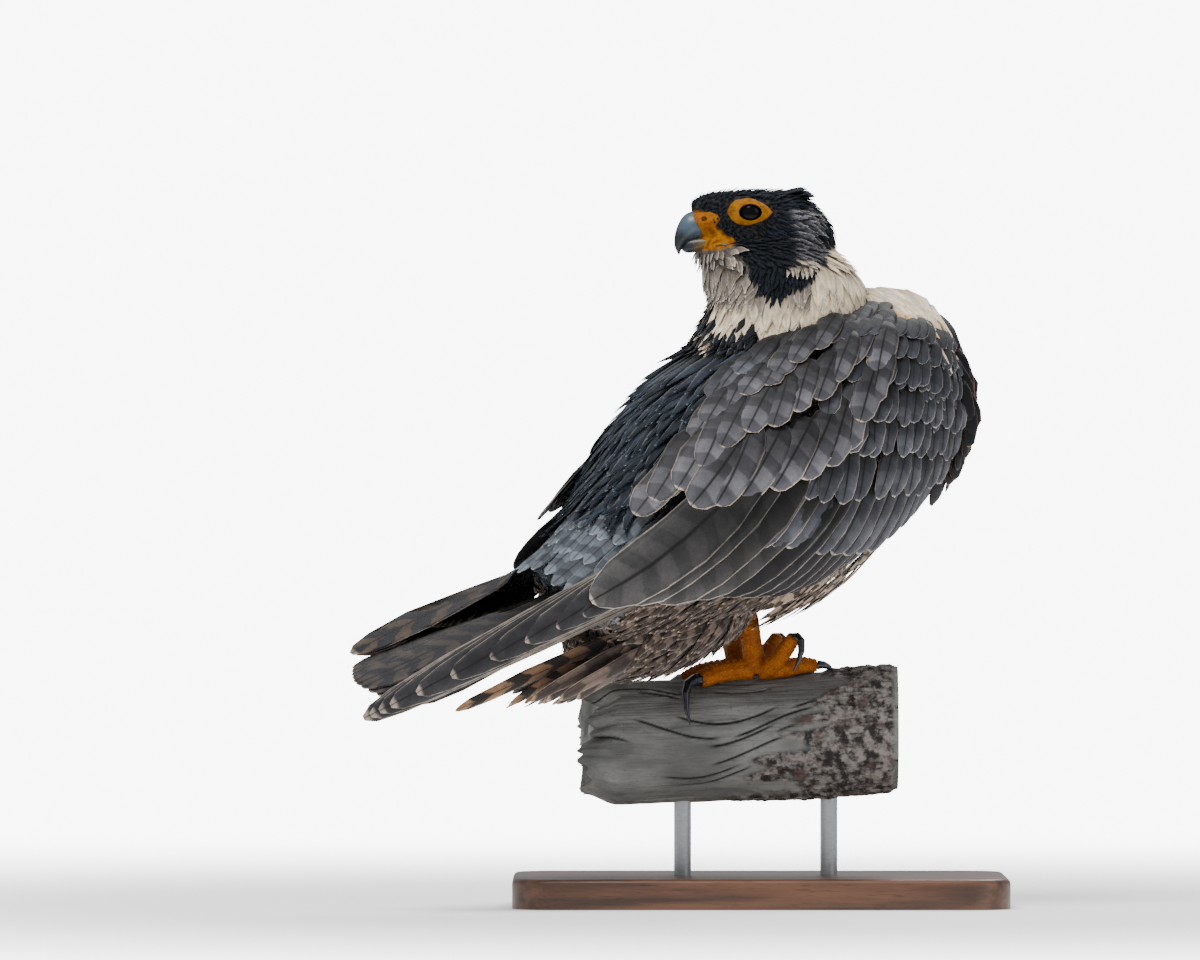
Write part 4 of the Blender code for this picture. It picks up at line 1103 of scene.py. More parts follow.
def chart_leaf(side, tip, length, rows, steep, drop=3.5):
    """A feather whose tip is (s, angle, lift), laid over the chart and straight where the body falls away."""
    s, angle, lift = tip
    slope = math.radians(steep)
    row = body_section(s - length / 2)
    radius = (row[2] + row[3]) / 2 + lift
    back = (s - length * math.cos(slope), angle - math.degrees(length * math.sin(slope) / radius), lift - drop)
    start, end = (coat_point(a, wing_angle(side, a, b), c) for a, b, c in (back, tip))
    line, outs = [], []
    for t in rows:
        a, b, c = mixed(back, tip, t)
        point, outward = coat_frame(a, wing_angle(side, a, b))
        point = point + outward * c * MM
        point += outward * max((start.lerp(end, t) - point).dot(outward), 0)
        line.append(point)
        outs.append(outward)
    return line, outs, chart_spot(back[0], wing_angle(side, *back[:2]))


def row_at(rows, share):
    """The value at share of straight runs between rows, which are evenly spaced."""
    place = share * (len(rows) - 1)
    i = min(int(place), len(rows) - 2)
    return mixed(rows[i], rows[i + 1], place - i)


# Rows of wing feathers: name, count, length and width at both ends in mm, look, how steeply they run down from
# the line of the body at both ends in degrees, how ruffled they are, and their tips (s, angle, lift).
ARM_ROWS = (
    # the secondaries take the flight look, whose dark base is partly painted shade under the greater coverts
    ("secondary", 10, (84, 84), (16, 24), "flight", (34, 12), 0.8,
     ((104, 131, 8.2), (124, 130, 8.8), (141, 128, 9.6), (156, 124, 10.8), (169, 116, 12.2), (180, 107, 14),
      (192, 98, 15.5))),
    ("tertial", 4, (92, 104), (24, 28), "tertial", (9, 4), 0.5,
     ((206, 92, 17), (222, 84, 19), (238, 76, 21), (252, 71, 23))),
    ("greater", 15, (42, 50), (13, 17), "covert", (42, 14), 1.2,
     ((80, 143, 9), (98, 137, 10.5), (116, 130, 12), (130, 120, 13), (143, 109, 14.2), (157, 97, 15.4),
      (172, 88, 17), (190, 74, 18.6))),
    ("median", 14, (30, 34), (11, 13), "covert", (44, 24), 2.8,
     ((62, 138, 12.5), (76, 130, 13.4), (92, 120, 14.2), (106, 108, 15), (121, 99, 15.8), (134, 89, 16.6),
      (144, 79, 17.4), (156, 70, 18.2))),
    ("lesser", 14, (24, 27), (10, 12), "covert", (44, 26), 3.2,
     ((48, 134, 14), (66, 118, 15), (84, 103, 15.6), (102, 89, 16.4), (120, 76, 17.6))),
    ("lesser", 13, (20, 23), (9.5, 11), "covert", (42, 22), 2.6,
     ((38, 128, 13.5), (54, 112, 15), (70, 97, 15.8), (86, 84, 16.4), (104, 70, 17.2))),
    ("lesser", 12, (17, 20), (9, 10.5), "marginal", (38, 20), 1.8,
     ((30, 118, 12.5), (44, 102, 14.5), (58, 88, 15.6), (72, 76, 16.4), (88, 64, 16.8))),
    ("lesser", 11, (15, 17), (8.5, 9.5), "marginal", (34, 18), 1.6,
     ((25, 108, 11.5), (37, 92, 13.4), (50, 78, 14.8), (62, 67, 15.8), (76, 58, 16))),
    ("lesser", 11, (14, 16), (8, 9.5), "marginal", (32, 16), 1.5,
     ((19, 98, 10), (30, 84, 12.2), (42, 71, 14), (54, 61, 15), (66, 54, 15.4))),
    # the feathers at the wing's bend, whose near-black look is painted shade under the leading edge
    ("lesser", 11, (16, 19), (7.5, 9.5), "bend", (66, 48), 6.0,
     ((17, 124, 13), (31, 136, 16), (50, 145, 15.5), (72, 149, 12))),
    ("lesser", 11, (15, 18), (7.5, 9.5), "bend", (60, 46), 6.0,
     ((13, 114, 13), (25, 126, 16), (42, 136, 17), (60, 141, 15.5))),
    ("lesser", 10, (14, 16), (7, 9), "bend", (54, 42), 5.0,
     ((12, 104, 12), (23, 117, 15.5), (38, 128, 17), (54, 133, 17))),
    ("scapular", 10, (32, 50), (14, 19), "scapular", (32, 12), 1.6,
     ((70, 74, 17.4), (92, 80, 18.4), (118, 82, 19.2), (143, 78, 20.4), (168, 68, 21.2), (190, 58, 22))),
    ("scapular", 13, (24, 44), (11, 18), "scapular", (26, 8), 1.6,
     ((56, 62, 13.5), (76, 64, 16.6), (100, 64, 19.2), (128, 58, 20.2), (156, 50, 21), (188, 48, 21.6),
      (214, 43, 20.6))),
    ("scapular", 14, (18, 36), (10, 17), "scapular", (22, 5), 1.6,
     ((46, 54, 9), (62, 52, 12.5), (84, 50, 17.6), (108, 46, 18.4), (134, 42, 18.8), (160, 38, 19), (198, 43, 19))),
    ("scapular", 13, (14, 30), (8, 15), "covert", (18, 4), 1.4,
     ((42, 49, 6), (54, 46, 7.5), (68, 42, 10), (88, 38, 13), (112, 35, 16), (136, 33, 16))),
    ("ruff", 20, (20, 23), (5.5, 6.5), "buff", (80, 84), 2.6,
     ((53, 54, 11.5), (46, 57, 11), (38, 64, 11), (31, 76, 11), (25, 90, 10), (17, 104, 9))),
    ("ruff", 22, (20, 23), (6, 7), "collar", (78, 82), 2.6,
     ((56, 50, 8), (46, 52, 7.5), (35, 61, 8), (29, 73, 9), (23, 87, 9), (15, 101, 8.2))),
    ("ruff", 20, (22, 24), (6, 7), "collar", (76, 82), 2.6,
     ((52, 46, 4), (40, 49, 4), (32, 58, 5), (26, 70, 7), (20, 84, 7.5), (13, 99, 7))),
    ("ruff", 18, (22, 26), (6, 7), "collar", (72, 80), 2.6,
     ((46, 41, 2), (36, 43, 2), (28, 53, 3), (22, 65, 5), (17, 79, 6), (10, 94, 6))),
    ("flank", 26, (20, 24), (6, 7), "belly", (10, 0), 2.2,
     ((84, 152, 4), (96, 154, 5), (117, 155, 7), (129, 157, 9), (141, 158, 10), (150, 158, 9.5), (163, 160, 8))),
    ("flank", 26, (20, 24), (6, 7), "belly", (10, 0), 2.2,
     ((88, 145, 4), (104, 147, 5), (120, 148, 6.5), (132, 149, 8), (144, 149, 9), (154, 148, 8.5), (164, 148, 7))),
    ("flank", 22, (20, 24), (6, 7), "belly", (10, 0), 2.2,
     ((100, 139, 4), (118, 140, 5), (134, 141, 6.5), (146, 140, 7), (158, 138, 6.5), (168, 136, 6))),
)
PRIMARY_TIPS = {
    RIGHT: ((-233, -30, 89.5), (-127, -42, 136)),
    LEFT: ((-206, 26, 118), (-110, 42, 143)),
}
PRIMARY_SPACING = {
    RIGHT: (0.0, 0.03, 0.07, 0.12, 0.24, 0.40, 0.58, 0.74, 0.88, 1.0),
    LEFT: (0.0, 0.03, 0.07, 0.12, 0.18, 0.25, 0.34, 0.46, 0.6, 0.8),
}
PRIMARY_FACES = {RIGHT: (-0.14, -0.98, 0.10), LEFT: (-0.30, -0.60, 0.74)}
PRIMARY_FAN = {RIGHT: 0.0, LEFT: 1.5}
PRIMARY_BEND = {RIGHT: 6.0, LEFT: 9.0}
# The root (s, angle, lift) of the longest primary and its change from one to the next, and the same for the width;
# STACK is how far each lies over the last, in mm.
PRIMARY_ROOT, PRIMARY_ROOT_STEP = (112, 104, -7), (2.6, -2.4, 1.2)
PRIMARY_WIDTH, PRIMARY_TAPER, PRIMARY_STACK = 23, 0.2, 0.55
LEFT_TERTIAL_BACK = 22
ROW_OUTLINES = {"ruff": LOOSE, "flank": LOOSE, "lesser": ROUNDED, "median": ROUNDED}


def free_leaf(root, middle, tip, face_root, face_tip, rows):
    """A feather along a bent line that leaves the body, all in the row frame."""
    line, outs = [], []
    for t in rows:
        line.append(root * (1 - t) ** 2 + middle * (2 * t * (1 - t)) + tip * t * t)
        outs.append((face_root * (1 - t) + face_tip * t).normalized())
    return line, outs


def primaries(side):
    """The long feathers of one wing, from the longest in, as (line, outward directions, width, look, ...)."""
    longest, shortest = (BIRD_TO_ROW @ (Vector(p) * MM) for p in PRIMARY_TIPS[side])
    turn = BIRD_TO_ROW.to_3x3()
    face = (turn @ Vector(PRIMARY_FACES[side])).normalized()
    kind = LOOKS["primary" if side == RIGHT else "far_primary"]
    bend = turn @ Vector((0, 0, PRIMARY_BEND[side])) * MM
    root_face = coat_frame(150, side * 98)[1]
    cells = []
    for k, share in enumerate(PRIMARY_SPACING[side]):
        s, angle, lift = (start + step * k for start, step in zip(PRIMARY_ROOT, PRIMARY_ROOT_STEP))
        root = coat_point(s, wing_angle(side, s, angle), lift)
        tip = longest.lerp(shortest, share) + (face * PRIMARY_STACK * k - Vector((0, 0, PRIMARY_FAN[side] * k))) * MM
        line, outs = free_leaf(root, (root + tip) / 2 + bend, tip, root_face, face, BLADE[0])
        cells.append((line, outs, PRIMARY_WIDTH - PRIMARY_TAPER * k, kind, BLADE, 0, 0.08))
    return cells


def wing_feathers(side, material, soft):
    """One folded wing: flight feathers, coverts, scapulars, the ruff at its shoulder and the fringe under it."""
    name = SIDES[side]
    flight = Coat("wing_flight_" + name, 40 + side)
    covers = Coat("wing_coverts_" + name, 50 + side)
    scapulars = Coat("scapulars_" + name, 60 + side)
    ruff = Coat("shoulder_ruff_" + name, 65 + side)
    flank = Coat("flank_fringe_" + name, 68 + side)
    cells = primaries(side)
    for row, count, lengths, widths, kind, steeps, ruffle, tips in ARM_ROWS:
        coat = {"scapular": scapulars, "ruff": ruff, "flank": flank}.get(row, covers)
        outline = ROW_OUTLINES.get(row, VANE)
        for k, share in enumerate(steps(count)):
            wander = covers.draw.uniform(-1, 1, 5)
            s, angle, lift = row_at(tips, share)
            length, width, steep = row_at(tuple(zip(lengths, widths, steeps)), share)
            lift = lift * (1 if side == RIGHT else 0.75) + wander[2] * 0.25 * ruffle
            s, angle = s + wander[0] * min(ruffle, 1.6), angle + wander[1] * min(ruffle, 1.6) * 0.8
            if side == LEFT and row == "tertial":
                s -= LEFT_TERTIAL_BACK
            length *= 1 + 0.03 * ruffle * wander[3]
            steep += wander[3] * ruffle * 3.0
            drop = 0.75 * lift if row == "ruff" else 3.5
            line, outs, spot = chart_leaf(side, (s, angle, lift), length, outline[0], steep, drop)
            tilt = side * (8 + wander[4] * ruffle * 3.5)
            if row in ("secondary", "tertial"):
                cells.append((line, outs, width, LOOKS[kind], outline, tilt, 0.10))
            else:
                torn = 0.25 if outline is LOOSE else 0.06 + 0.02 * ruffle
                coat.add(line, outs, width * MM, LOOKS[kind], outline, spot, columns=7, tilt=tilt, ragged=torn)
    columns = math.ceil(math.sqrt(len(cells)))
    for k, (line, outs, width, kind, outline, tilt, camber) in enumerate(cells):
        spot = ((k % columns + 0.5) / columns, (k // columns + 0.5) / columns)
        flight.add(line, outs, width * MM, kind, outline, spot, 0.9 / columns, 9, tilt, camber, 0.03)
    settle(flight.build(), material, "slate_feathers", "wing_" + name)
    settle(covers.build(), material, "slate_feathers")
    settle(scapulars.build(), material, "slate_feathers")
    settle(ruff.build(), soft, "cream_feathers")
    settle(flank.build(), soft, "buff_feathers")


TAIL_COUNT = 12
TAIL_START = 200
TAIL_SPREAD = 9
TAIL_WIDTH, TAIL_COVERT_WIDTH = 23, 11
# First places along the chart, counts and lengths of the rings of coverts over the tail.
TAIL_COVERTS = ((190, 13, 30), (202, 12, 32), (214, 10, 34))


def tail_feathers(material):
    """Twelve barred tail feathers in a half-closed fan, rolled to the bird's right, and their coverts."""
    tail = Coat("tail_feathers", 71)
    covers = Coat("tail_coverts", 72)
    for k in range(TAIL_COUNT):
        place = (k - (TAIL_COUNT - 1) / 2) * TAIL_SPREAD / (TAIL_COUNT - 1)
        level = 2.6 - 1.15 * abs(place)
        line, outs = [], []
        for t in BLADE[0]:
            s = TAIL_START + (BODY_LENGTH - 2 - 1.2 * abs(place) ** 1.5 - TAIL_START) * t
            middle = BIRD_TO_ROW @ spine_frame(s)[0]
            up, right = coat_frame(s, 0)[1], coat_frame(s, 90)[1]
            line.append(middle + (right * place * (1.6 + 3.0 * t) + up * level * (0.55 + 0.45 * t)) * MM)
            outs.append((up + right * (0.05 * place)).normalized())
        spot = ((k % 4 + 0.5) / 4, (k // 4 + 0.5) / 4)
        tail.add(line, outs, TAIL_WIDTH * MM, LOOKS["tail"], VANE, spot, 0.22, 9, 0, 0.06, 0.03)
    for ring, (start, count, length) in enumerate(TAIL_COVERTS):
        for k in range(count):
            angle = -75 + 150 * k / (count - 1)
            wander = covers.draw.uniform(-1, 1, 2)
            tip = (start + length + wander[0] * 3, angle + wander[1] * 4, 2.6 - ring * 0.5)
            line, outs, spot = chart_leaf(RIGHT, tip, length, VANE[0], 0, 2.0)
            covers.add(line, outs, TAIL_COVERT_WIDTH * MM, LOOKS["rump"], VANE, spot, columns=7, ragged=0.15)
    settle(tail.build(), material, "slate_feathers", "tail")
    settle(covers.build(), material, "slate_feathers")


# How far the outer plumes reach past their line under the tail, in mm.
PLUME_REACHES = (74, 40, 28, 32, 20, 16, 6)
PLUME_WIDTH = 11


def vent_plumes(material):
    """The long barred coverts under the tail, loose and apart at their ends."""
    plumes = Coat("vent_plumes", 81)
    turn = BIRD_TO_ROW.to_3x3()
    for layer in range(3):
        for k in range(7 + layer):
            share = k / (6 + layer)
            y = -0.024 + 0.040 * share
            drop = 0.004 * math.sin(math.pi * share)
            reach = (PLUME_REACHES[k] if layer == 0 else 38 - 13 * layer + plumes.draw.uniform(-9, 9)) * MM
            lift = 0.0016 * layer
            root = Vector((-0.070 + 0.008 * layer, y * 0.55, 0.130 - drop - 1.6 * lift))
            tip = Vector((-0.108 - reach, y * 1.1, 0.1030 - drop - 0.14 * reach - lift))
            middle = (root + tip) / 2 + Vector((0, 0, 0.002))
            face = (turn @ Vector((-0.3, -0.75 + share * 0.9, -0.6))).normalized()
            places = [BIRD_TO_ROW @ p for p in (root, middle, tip)]
            line, outs = free_leaf(*places, face, face, BLADE[0])
            kind = LOOKS["plume" if layer == 0 else "vent"]
            spot = ((layer + 0.5) / 3, (k + 0.5) / 9)
            plumes.add(line, outs, PLUME_WIDTH * MM, kind, BLADE, spot, 0.1, 7, 0, 0.12, 0.12)
    settle(plumes.build(), material, "buff_feathers")


TUFT_COUNTS = (7, 9, 9)
TUFT_WIDTH = 24
TUFT_FEATHER_WIDTH = 5.5


def crown_tuft(material):
    """The ruffled feathers that stand off the rear of the crown."""
    tuft = Coat("crown_tuft", 91)
    for layer, count in enumerate(TUFT_COUNTS):
        for k in range(count):
            y = (k - (count - 1) / 2) * TUFT_WIDTH / count
            droop = 0.35 * abs(y) / 5
            back = 3.2 * layer + tuft.draw.uniform(-1.2, 1.2)
            low = 1.1 * layer
            root = Vector((-1 - back * 0.5, y * 0.8, 13.6 - droop - low * 0.6)) * MM
            middle = Vector((-10 - back, y * 0.95, 17.4 - droop - low)) * MM
            tip = Vector((-19.5 - back * 0.6 + 0.18 * abs(y), y * 1.1, 19.0 - 2 * droop - low * 1.6)) * MM
            up = Vector((0.1, 0.01 * y, 1)).normalized()
            places = [HEAD_TO_ROW @ p for p in (root, middle, tip)]
            face, spot = HEAD_TO_ROW.to_3x3() @ up, head_spot(places[0])
            line, outs = free_leaf(*places, face, face, VANE[0])
            tuft.add(line, outs, TUFT_FEATHER_WIDTH * MM, LOOKS["cap"], VANE, spot, camber=0.2, ragged=0.2)
    settle(tuft.build(), material, "black_feathers")


# Bare parts


def head_place(x, y, z):
    """A place in mm of the head frame in the row frame."""
    return HEAD_TO_ROW @ (Vector((x, y, z)) * MM)


def reach_attribute(obj, start, end):
    """How far each corner lies from start towards end, for a colour that changes along the piece."""
    start, span = head_place(*start), head_place(*end) - head_place(*start)
    shares = [(v.co - start).dot(span) / span.length_squared for v in obj.data.vertices]
    store(obj.data, "reach", "FLOAT", np.clip(shares, 0, 1))


BEAK_LINE = (
    (31.5, 1.6, 7.0),
    (34.5, 0.6, 6.9),
    (37.2, -1.9, 5.7),
    (39.6, -5.2, 4.0),
    (41.0, -8.8, 2.2),
    (40.9, -12.7, 0.3),
)
MANDIBLE_ROWS = (
    (17, -7.0, 7.9, 2.6, 2.6),
    (24, -7.3, 6.8, 3.4, 3.0),
    (30, -7.7, 5.6, 3.8, 2.9),
    (34.5, -8.9, 4.3, 4.4, 2.9),
    (37.6, -9.7, 3.0, 4.2, 2.1),
    (39.3, -9.8, 1.4, 2.9, 0.9),
)
MOUTH_LINE = ((15.5, -5.0), (19, -5.2), (23, -5.5), (27, -5.4), (31, -4.9))
MOUTH_SIDE = 16
MOUTH_RADII = (0.00015, 0.00045, 0.00045, 0.00045, 0.0003)


def bill(horn, mandible, wax, mouth_shade):
    """Both halves of the bill, its cere, and on each side a near-black line of painted shade in the slit of the
    mouth.
    """

    def beak(angle, share):
        x, z, radius = curve_through(BEAK_LINE, share)
        ahead = curve_through(BEAK_LINE, min(share + 0.02, 1.0))
        behind = curve_through(BEAK_LINE, max(share - 0.02, 0.0))
        along = Vector((ahead[0] - behind[0], 0, ahead[1] - behind[1])).normalized()
        rise, across = radius * 0.93 * math.sin(angle), radius * 0.88 * math.cos(angle)
        across *= 1 - 0.22 * max(math.sin(angle), 0) ** 2
        return head_place(x - along.z * rise, across, z + along.x * rise)

    upper = shaped("bill_upper_horn", closed_tube(beak, 64, 60))
    reach_attribute(upper, (30, 0, 2), (41, 0, -12))
    settle(upper, horn, "bill_horn", "bill_upper")
    lower = shaped("bill_lower_horn", head_form(MANDIBLE_ROWS, 40, 40, 2.2))
    reach_attribute(lower, (18, 0, -8), (44, 0, -8))
    settle(lower, mandible, "bill_horn", "bill_lower")
    settle(remeshed("cere_wax", [node_form("cere")], 0.26 * MM, 5), wax, "yellow_skin", "cere")
    tree = BVHTree.FromObject(bpy.data.objects["skin"], bpy.context.evaluated_depsgraph_get())
    paths = [[tree.find_nearest(head_place(x, side * MOUTH_SIDE, z))[0] for x, z in MOUTH_LINE] for side in SIDES]
    # a near-black line along each side of the mouth, painted shade in the slit between the mandibles
    lines = gathered(path_tube(path, MOUTH_RADII, 8, 24) for path in paths)
    settle(shaped("mouth_shade_line", lines), mouth_shade, "claw_horn")


def eyes(gloss, lid_skin):
    """Each eyeball and the bare ring round it."""
    for side, name in SIDES.items():
        middle = Vector((EYE_CENTRE.x, -side * EYE_CENTRE.y, EYE_CENTRE.z))
        outward = Vector((math.sin(EYE_AHEAD), -side * math.cos(EYE_AHEAD), 0))
        ball = bmesh.new()
        bmesh.ops.create_uvsphere(ball, u_segments=48, v_segments=32, radius=EYE_RADIUS)
        aimed = outward.to_track_quat("Z", "Y").to_matrix().to_4x4()
        pose = HEAD_TO_ROW @ Matrix.Translation(middle + outward * EYE_FORWARD) @ aimed
        bmesh.ops.transform(ball, matrix=pose, verts=ball.verts)
        settle(shaped("eyeball_" + name, ball), gloss, "eye", "eye_" + name)
        ring = remeshed("eye_ring_" + name, [node_form("lids_" + name)], 0.3 * MM, 4)
        settle(ring, lid_skin, "yellow_skin", "lids_" + name)


TOES = (
    ("hallux", ((-2, 0, 1), (-12, -1.5, 0.2), (-20, -2.5, -1.8), (-26, -4.0, -4.6)), (5.2, 4.6, 4.4, 3.7)),
    ("inner", ((2, 1, 1), (9, 4.2, 0.2), (15, 6.4, 0.6), (20, 7.6, 0.2)), (4.8, 3.9, 3.6, 2.9)),
    ("middle", ((2, 0, 1), (12, 0.6, 0.8), (21, 0.9, 2.6), (28, 1.0, 2.2)), (4.8, 4.2, 3.7, 2.8)),
    ("outer", ((3, -1, 1), (9, -6.0, 4.2), (14, -10.5, 10.5), (17.5, -13.5, 16)), (4.8, 3.9, 3.7, 3.0)),
)
FOOT_GROWTH = 0.3 * MM
TOE_SCUTES = 11
TARSUS_SCUTES = 13
TARSUS_TURNS = (-62, -20, 24, 66, 112, 160, -110)
FOOT_PLACE = {RIGHT: (-2.0, -12.0, 109.2), LEFT: (-9.0, 12.5, 108.6)}
TARSUS_TOP = {RIGHT: (-8.0, -17.5, 146.0), LEFT: (-20.0, 12.0, 146.0)}


TARSUS_RADIUS = 3.9 * MM
TARSUS_SCUTE = (1.7 * MM, 1.9 * MM, 0.9 * MM)


def scute(form, point, along, outward, length, width, height):
    """One low plate of horn on the skin."""
    made = bmesh.ops.create_icosphere(form, subdivisions=2, radius=1)
    across = outward.cross(along).normalized()
    axes = Matrix((along * length, across * width, outward * height)).transposed().to_4x4()
    bmesh.ops.transform(form, matrix=Matrix.Translation(point) @ axes, verts=made["verts"])


def toe_scutes(form, middle, side):
    """Plates along the top of each toe of a foot."""
    for _, path, radii in TOES:
        placed = [(middle + Vector((p[0], p[1] * side, p[2]))) * MM for p in path]
        for k in range(1, TOE_SCUTES):
            t = k / TOE_SCUTES
            point, ahead = (Vector(curve_through(placed, x)) for x in (t, min(t + 0.03, 1)))
            along = (ahead - point).normalized()
            radius = curve_through([(r,) for r in radii], t)[0] * MM
            guide = Vector((0, 0, 1)) if abs(along.z) < 0.75 else Vector((0, -1, 0.3))
            up = (guide - along * guide.dot(along)).normalized()
            scute(form, point + up * radius * 0.80, along, up, 1.5 * MM, radius * 0.62, radius * 0.30)


def tarsus_scutes(form, top, bottom):
    """Rows of plates round the bare leg, set off from one another by half a plate."""
    along = (bottom - top).normalized()
    for turn in TARSUS_TURNS:
        for k in range(TARSUS_SCUTES):
            point = top.lerp(bottom, 0.18 + 0.74 * (k + 0.5 * (turn % 4 == 0)) / TARSUS_SCUTES)
            outward = Matrix.Rotation(math.radians(turn), 3, along) @ Vector((0, -1, 0))
            outward = (outward - along * outward.dot(along)).normalized()
            scute(form, point + outward * TARSUS_RADIUS, along, outward, *TARSUS_SCUTE)


def feet(skin, plates, horn):
    """Each foot's skin, the plates on it, and its talons."""
    for side, name in SIDES.items():
        foot = remeshed("foot_skin_" + name, [node_form("foot_" + name)], 0.55 * MM, 5)
        settle(grown(foot, lambda _: FOOT_GROWTH), skin, "foot_skin", "foot_" + name)
        form = bmesh.new()
        middle = Vector(FOOT_PLACE[side])
        toe_scutes(form, middle, side)
        tarsus_scutes(form, Vector(TARSUS_TOP[side]) * MM, middle * MM)
        settle(shaped("foot_scutes_" + name, form), plates, "foot_skin")
        for toe, _, _ in TOES:
            claw = f"{name}_{toe}"
            talon = remeshed("talon_" + claw, [node_form("claw_" + claw)], 0.3 * MM, 8)
            settle(talon, horn, "claw_horn", "claw_" + claw)


# Perch and stand


def limb_middle(x):
    """Height of the limb's middle line at x."""
    return LIMB_HEIGHT + LIMB_RISE * x


CRACK_COUNT = 44
# Where along X the left end starts to narrow and to be jagged, the bark starts, and the bark stops at the cut.
NARROW_FROM, JAGGED_FROM = -0.066, -0.055
BARK_START, BARK_STOP = 0.012, (0.060, 0.0635)
CRACK_DEPTH, BARK_HEIGHT = 0.8, 1.3


def crack_depth(cracks, angle, x):
    """How deep, from 0 to 1, a place of the limb lies in one of its long checks."""
    deepest = 0.0
    for turn, start, length in cracks:
        gap = (angle - turn - 0.25 * math.sin(x * 60 + turn) + math.pi) % math.tau - math.pi
        inside = ramp(x, start - 0.002, start + 0.004) * ramp(x, start + length + 0.002, start + length - 0.006)
        deepest = max(deepest, inside * ramp(abs(gap), 0.030, 0.006))
    return deepest


def perch_piece(wood):
    """The cut length of limb: weathered wood with long checks, a broken end, and bark left on one part."""
    checks, barks = {}, {}
    draw = random.Random(5)
    cracks = [
        (draw.uniform(-math.pi, math.pi), draw.uniform(-0.085, 0.05), draw.uniform(0.012, 0.05))
        for _ in range(CRACK_COUNT)
    ]

    def place(angle, share):
        x = LIMB_START + (LIMB_END - LIMB_START) * share
        across, up = math.cos(angle), math.sin(angle)
        lobes = 0.018 * math.sin(3 * angle + 50 * x) + 0.012 * math.sin(5 * angle - 80 * x)
        radius = LIMB_RADIUS / MM * (1 + lobes)
        radius -= 5.5 * ramp(x, NARROW_FROM, LIMB_START)
        jag = noise.noise(Vector((across * 2.2, up * 2.2, 1.3)))
        fine = noise.noise(Vector((across * 9, up * 9, 4.1)))
        x += (0.006 * jag + 0.004 * fine) * ramp(x, JAGGED_FROM, LIMB_START)
        ring = Vector((x * 24, across * 3, up * 3))
        bark = ramp(0.7 * noise.noise(ring * 1.4) + 22 * (x - BARK_START) - 0.5 * up, 0.02, 0.25)
        bark *= 1 - ramp(x, *BARK_STOP)
        crack = crack_depth(cracks, angle, x) * (1 - bark)
        radius += 0.35 * noise.noise(Vector((x * 30, across * 34, up * 34))) + 0.6 * noise.noise(ring * 2.4)
        flakes = noise.noise(ring * 7) + 0.6 * noise.noise(ring * 17)
        radius += bark * (BARK_HEIGHT + 1.1 * flakes) - CRACK_DEPTH * crack
        point = Vector((x / MM, radius * across, limb_middle(x) / MM + radius * up)) * MM
        key = tuple(round(c, 7) for c in point)
        checks[key], barks[key] = crack, bark
        return point

    limb = shaped("perch_limb", closed_tube(place, 300, 240), 60)
    for name, found in (("check", checks), ("bark", barks)):
        keys = (tuple(round(c, 7) for c in v.co) for v in limb.data.vertices)
        store(limb.data, name, "FLOAT", [found.get(key, 0.0) for key in keys])
    settle(limb, wood, "weathered_wood", "perch")


def stand_pieces(walnut, steel, size, rod_radius):
    """The base board with rounded corners and a softened upper edge, and its two rods."""
    form, thick = bmesh.new(), size[2]
    bmesh.ops.create_cube(form, size=1)
    bmesh.ops.scale(form, verts=form.verts, vec=size)
    bmesh.ops.translate(form, verts=form.verts, vec=(0, 0, thick / 2))
    upright = [e for e in form.edges if abs(e.verts[0].co.z - e.verts[1].co.z) > thick / 2]
    bmesh.ops.bevel(form, geom=upright, offset=BASE_CORNER, segments=12, profile=0.5, material=-1, affect="EDGES")
    rim = [e for e in form.edges if min(v.co.z for v in e.verts) > thick - MM]
    bmesh.ops.bevel(form, geom=rim, offset=BASE_BEVEL, segments=5, profile=0.5, material=-1, affect="EDGES")
    settle(shaped("base_board", form, 35), walnut, "base_walnut", "stand_base")
    for x, name in zip(ROD_PLACES, ("left", "right")):
        top = limb_middle(x) - LIMB_RADIUS + ROD_INSET
        form = path_tube([(x, 0, thick - MM), (x, 0, top)], (rod_radius, rod_radius), 48, 2)
        settle(shaped("rod_" + name, form, 40), steel, "rod_steel", "stand_rod_" + name)


# Stage

# Name, place, what it points at, size in metres and power in watts of each lamp.
LAMPS = (
    ("key", (-1.0, -1.3, 2.9), (0, 0, 0.2), 1.5, 95),
    ("fill", (2.2, -1.8, 1.2), (0, 0, 0.2), 1.8, 10),
    ("rim", (0.8, 2.0, 2.4), (0, 0, 0.25), 1.4, 45),
)
CAMERA_PLACE = (-0.0744, -6.0, 0.1977)
CAMERA_LENS, CAMERA_SENSOR = 387, 36
FLOOR_RADIUS = 2.5
FLOOR_DROP = 0.0002


def pale_floor(name):
    """A plain pale studio floor that thins out far from the stand, so no horizon shows."""
    material, add, place = start_material(
        name, Roughness=0.9, Base_Color=(*linear("#f6f7f8"), 1), Emission_Color=(1, 1, 1, 1), Emission_Strength=0.5
    )
    distance = add("VectorMath", [place], "Value", operation="LENGTH")
    faded = add("MapRange", [distance, 1.3, 0.25], interpolation_type="SMOOTHSTEP")
    tree = material.node_tree
    tree.links.new(faded, tree.nodes["Principled BSDF"].inputs["Alpha"])
    return material


def soft_sky(name, strength):
    """Even light all round, with a plain bright ground behind the piece."""
    world = bpy.data.worlds.new(name)
    world.use_nodes = True
    tree = world.node_tree
    ground = tree.nodes["Background"]
    ground.inputs["Color"].default_value = (*linear("#f2f4f7"), 1)
    ground.inputs["Strength"].default_value = strength
    behind = add_node(tree, "Background", [linear("#fbfcfe"), 9.0])
    seen = add_node(tree, "LightPath", output="Is Camera Ray")
    choice = add_node(tree, "MixShader", [seen, ground.outputs[0], behind])
    tree.links.new(choice, tree.nodes["World Output"].inputs[0])
    return world


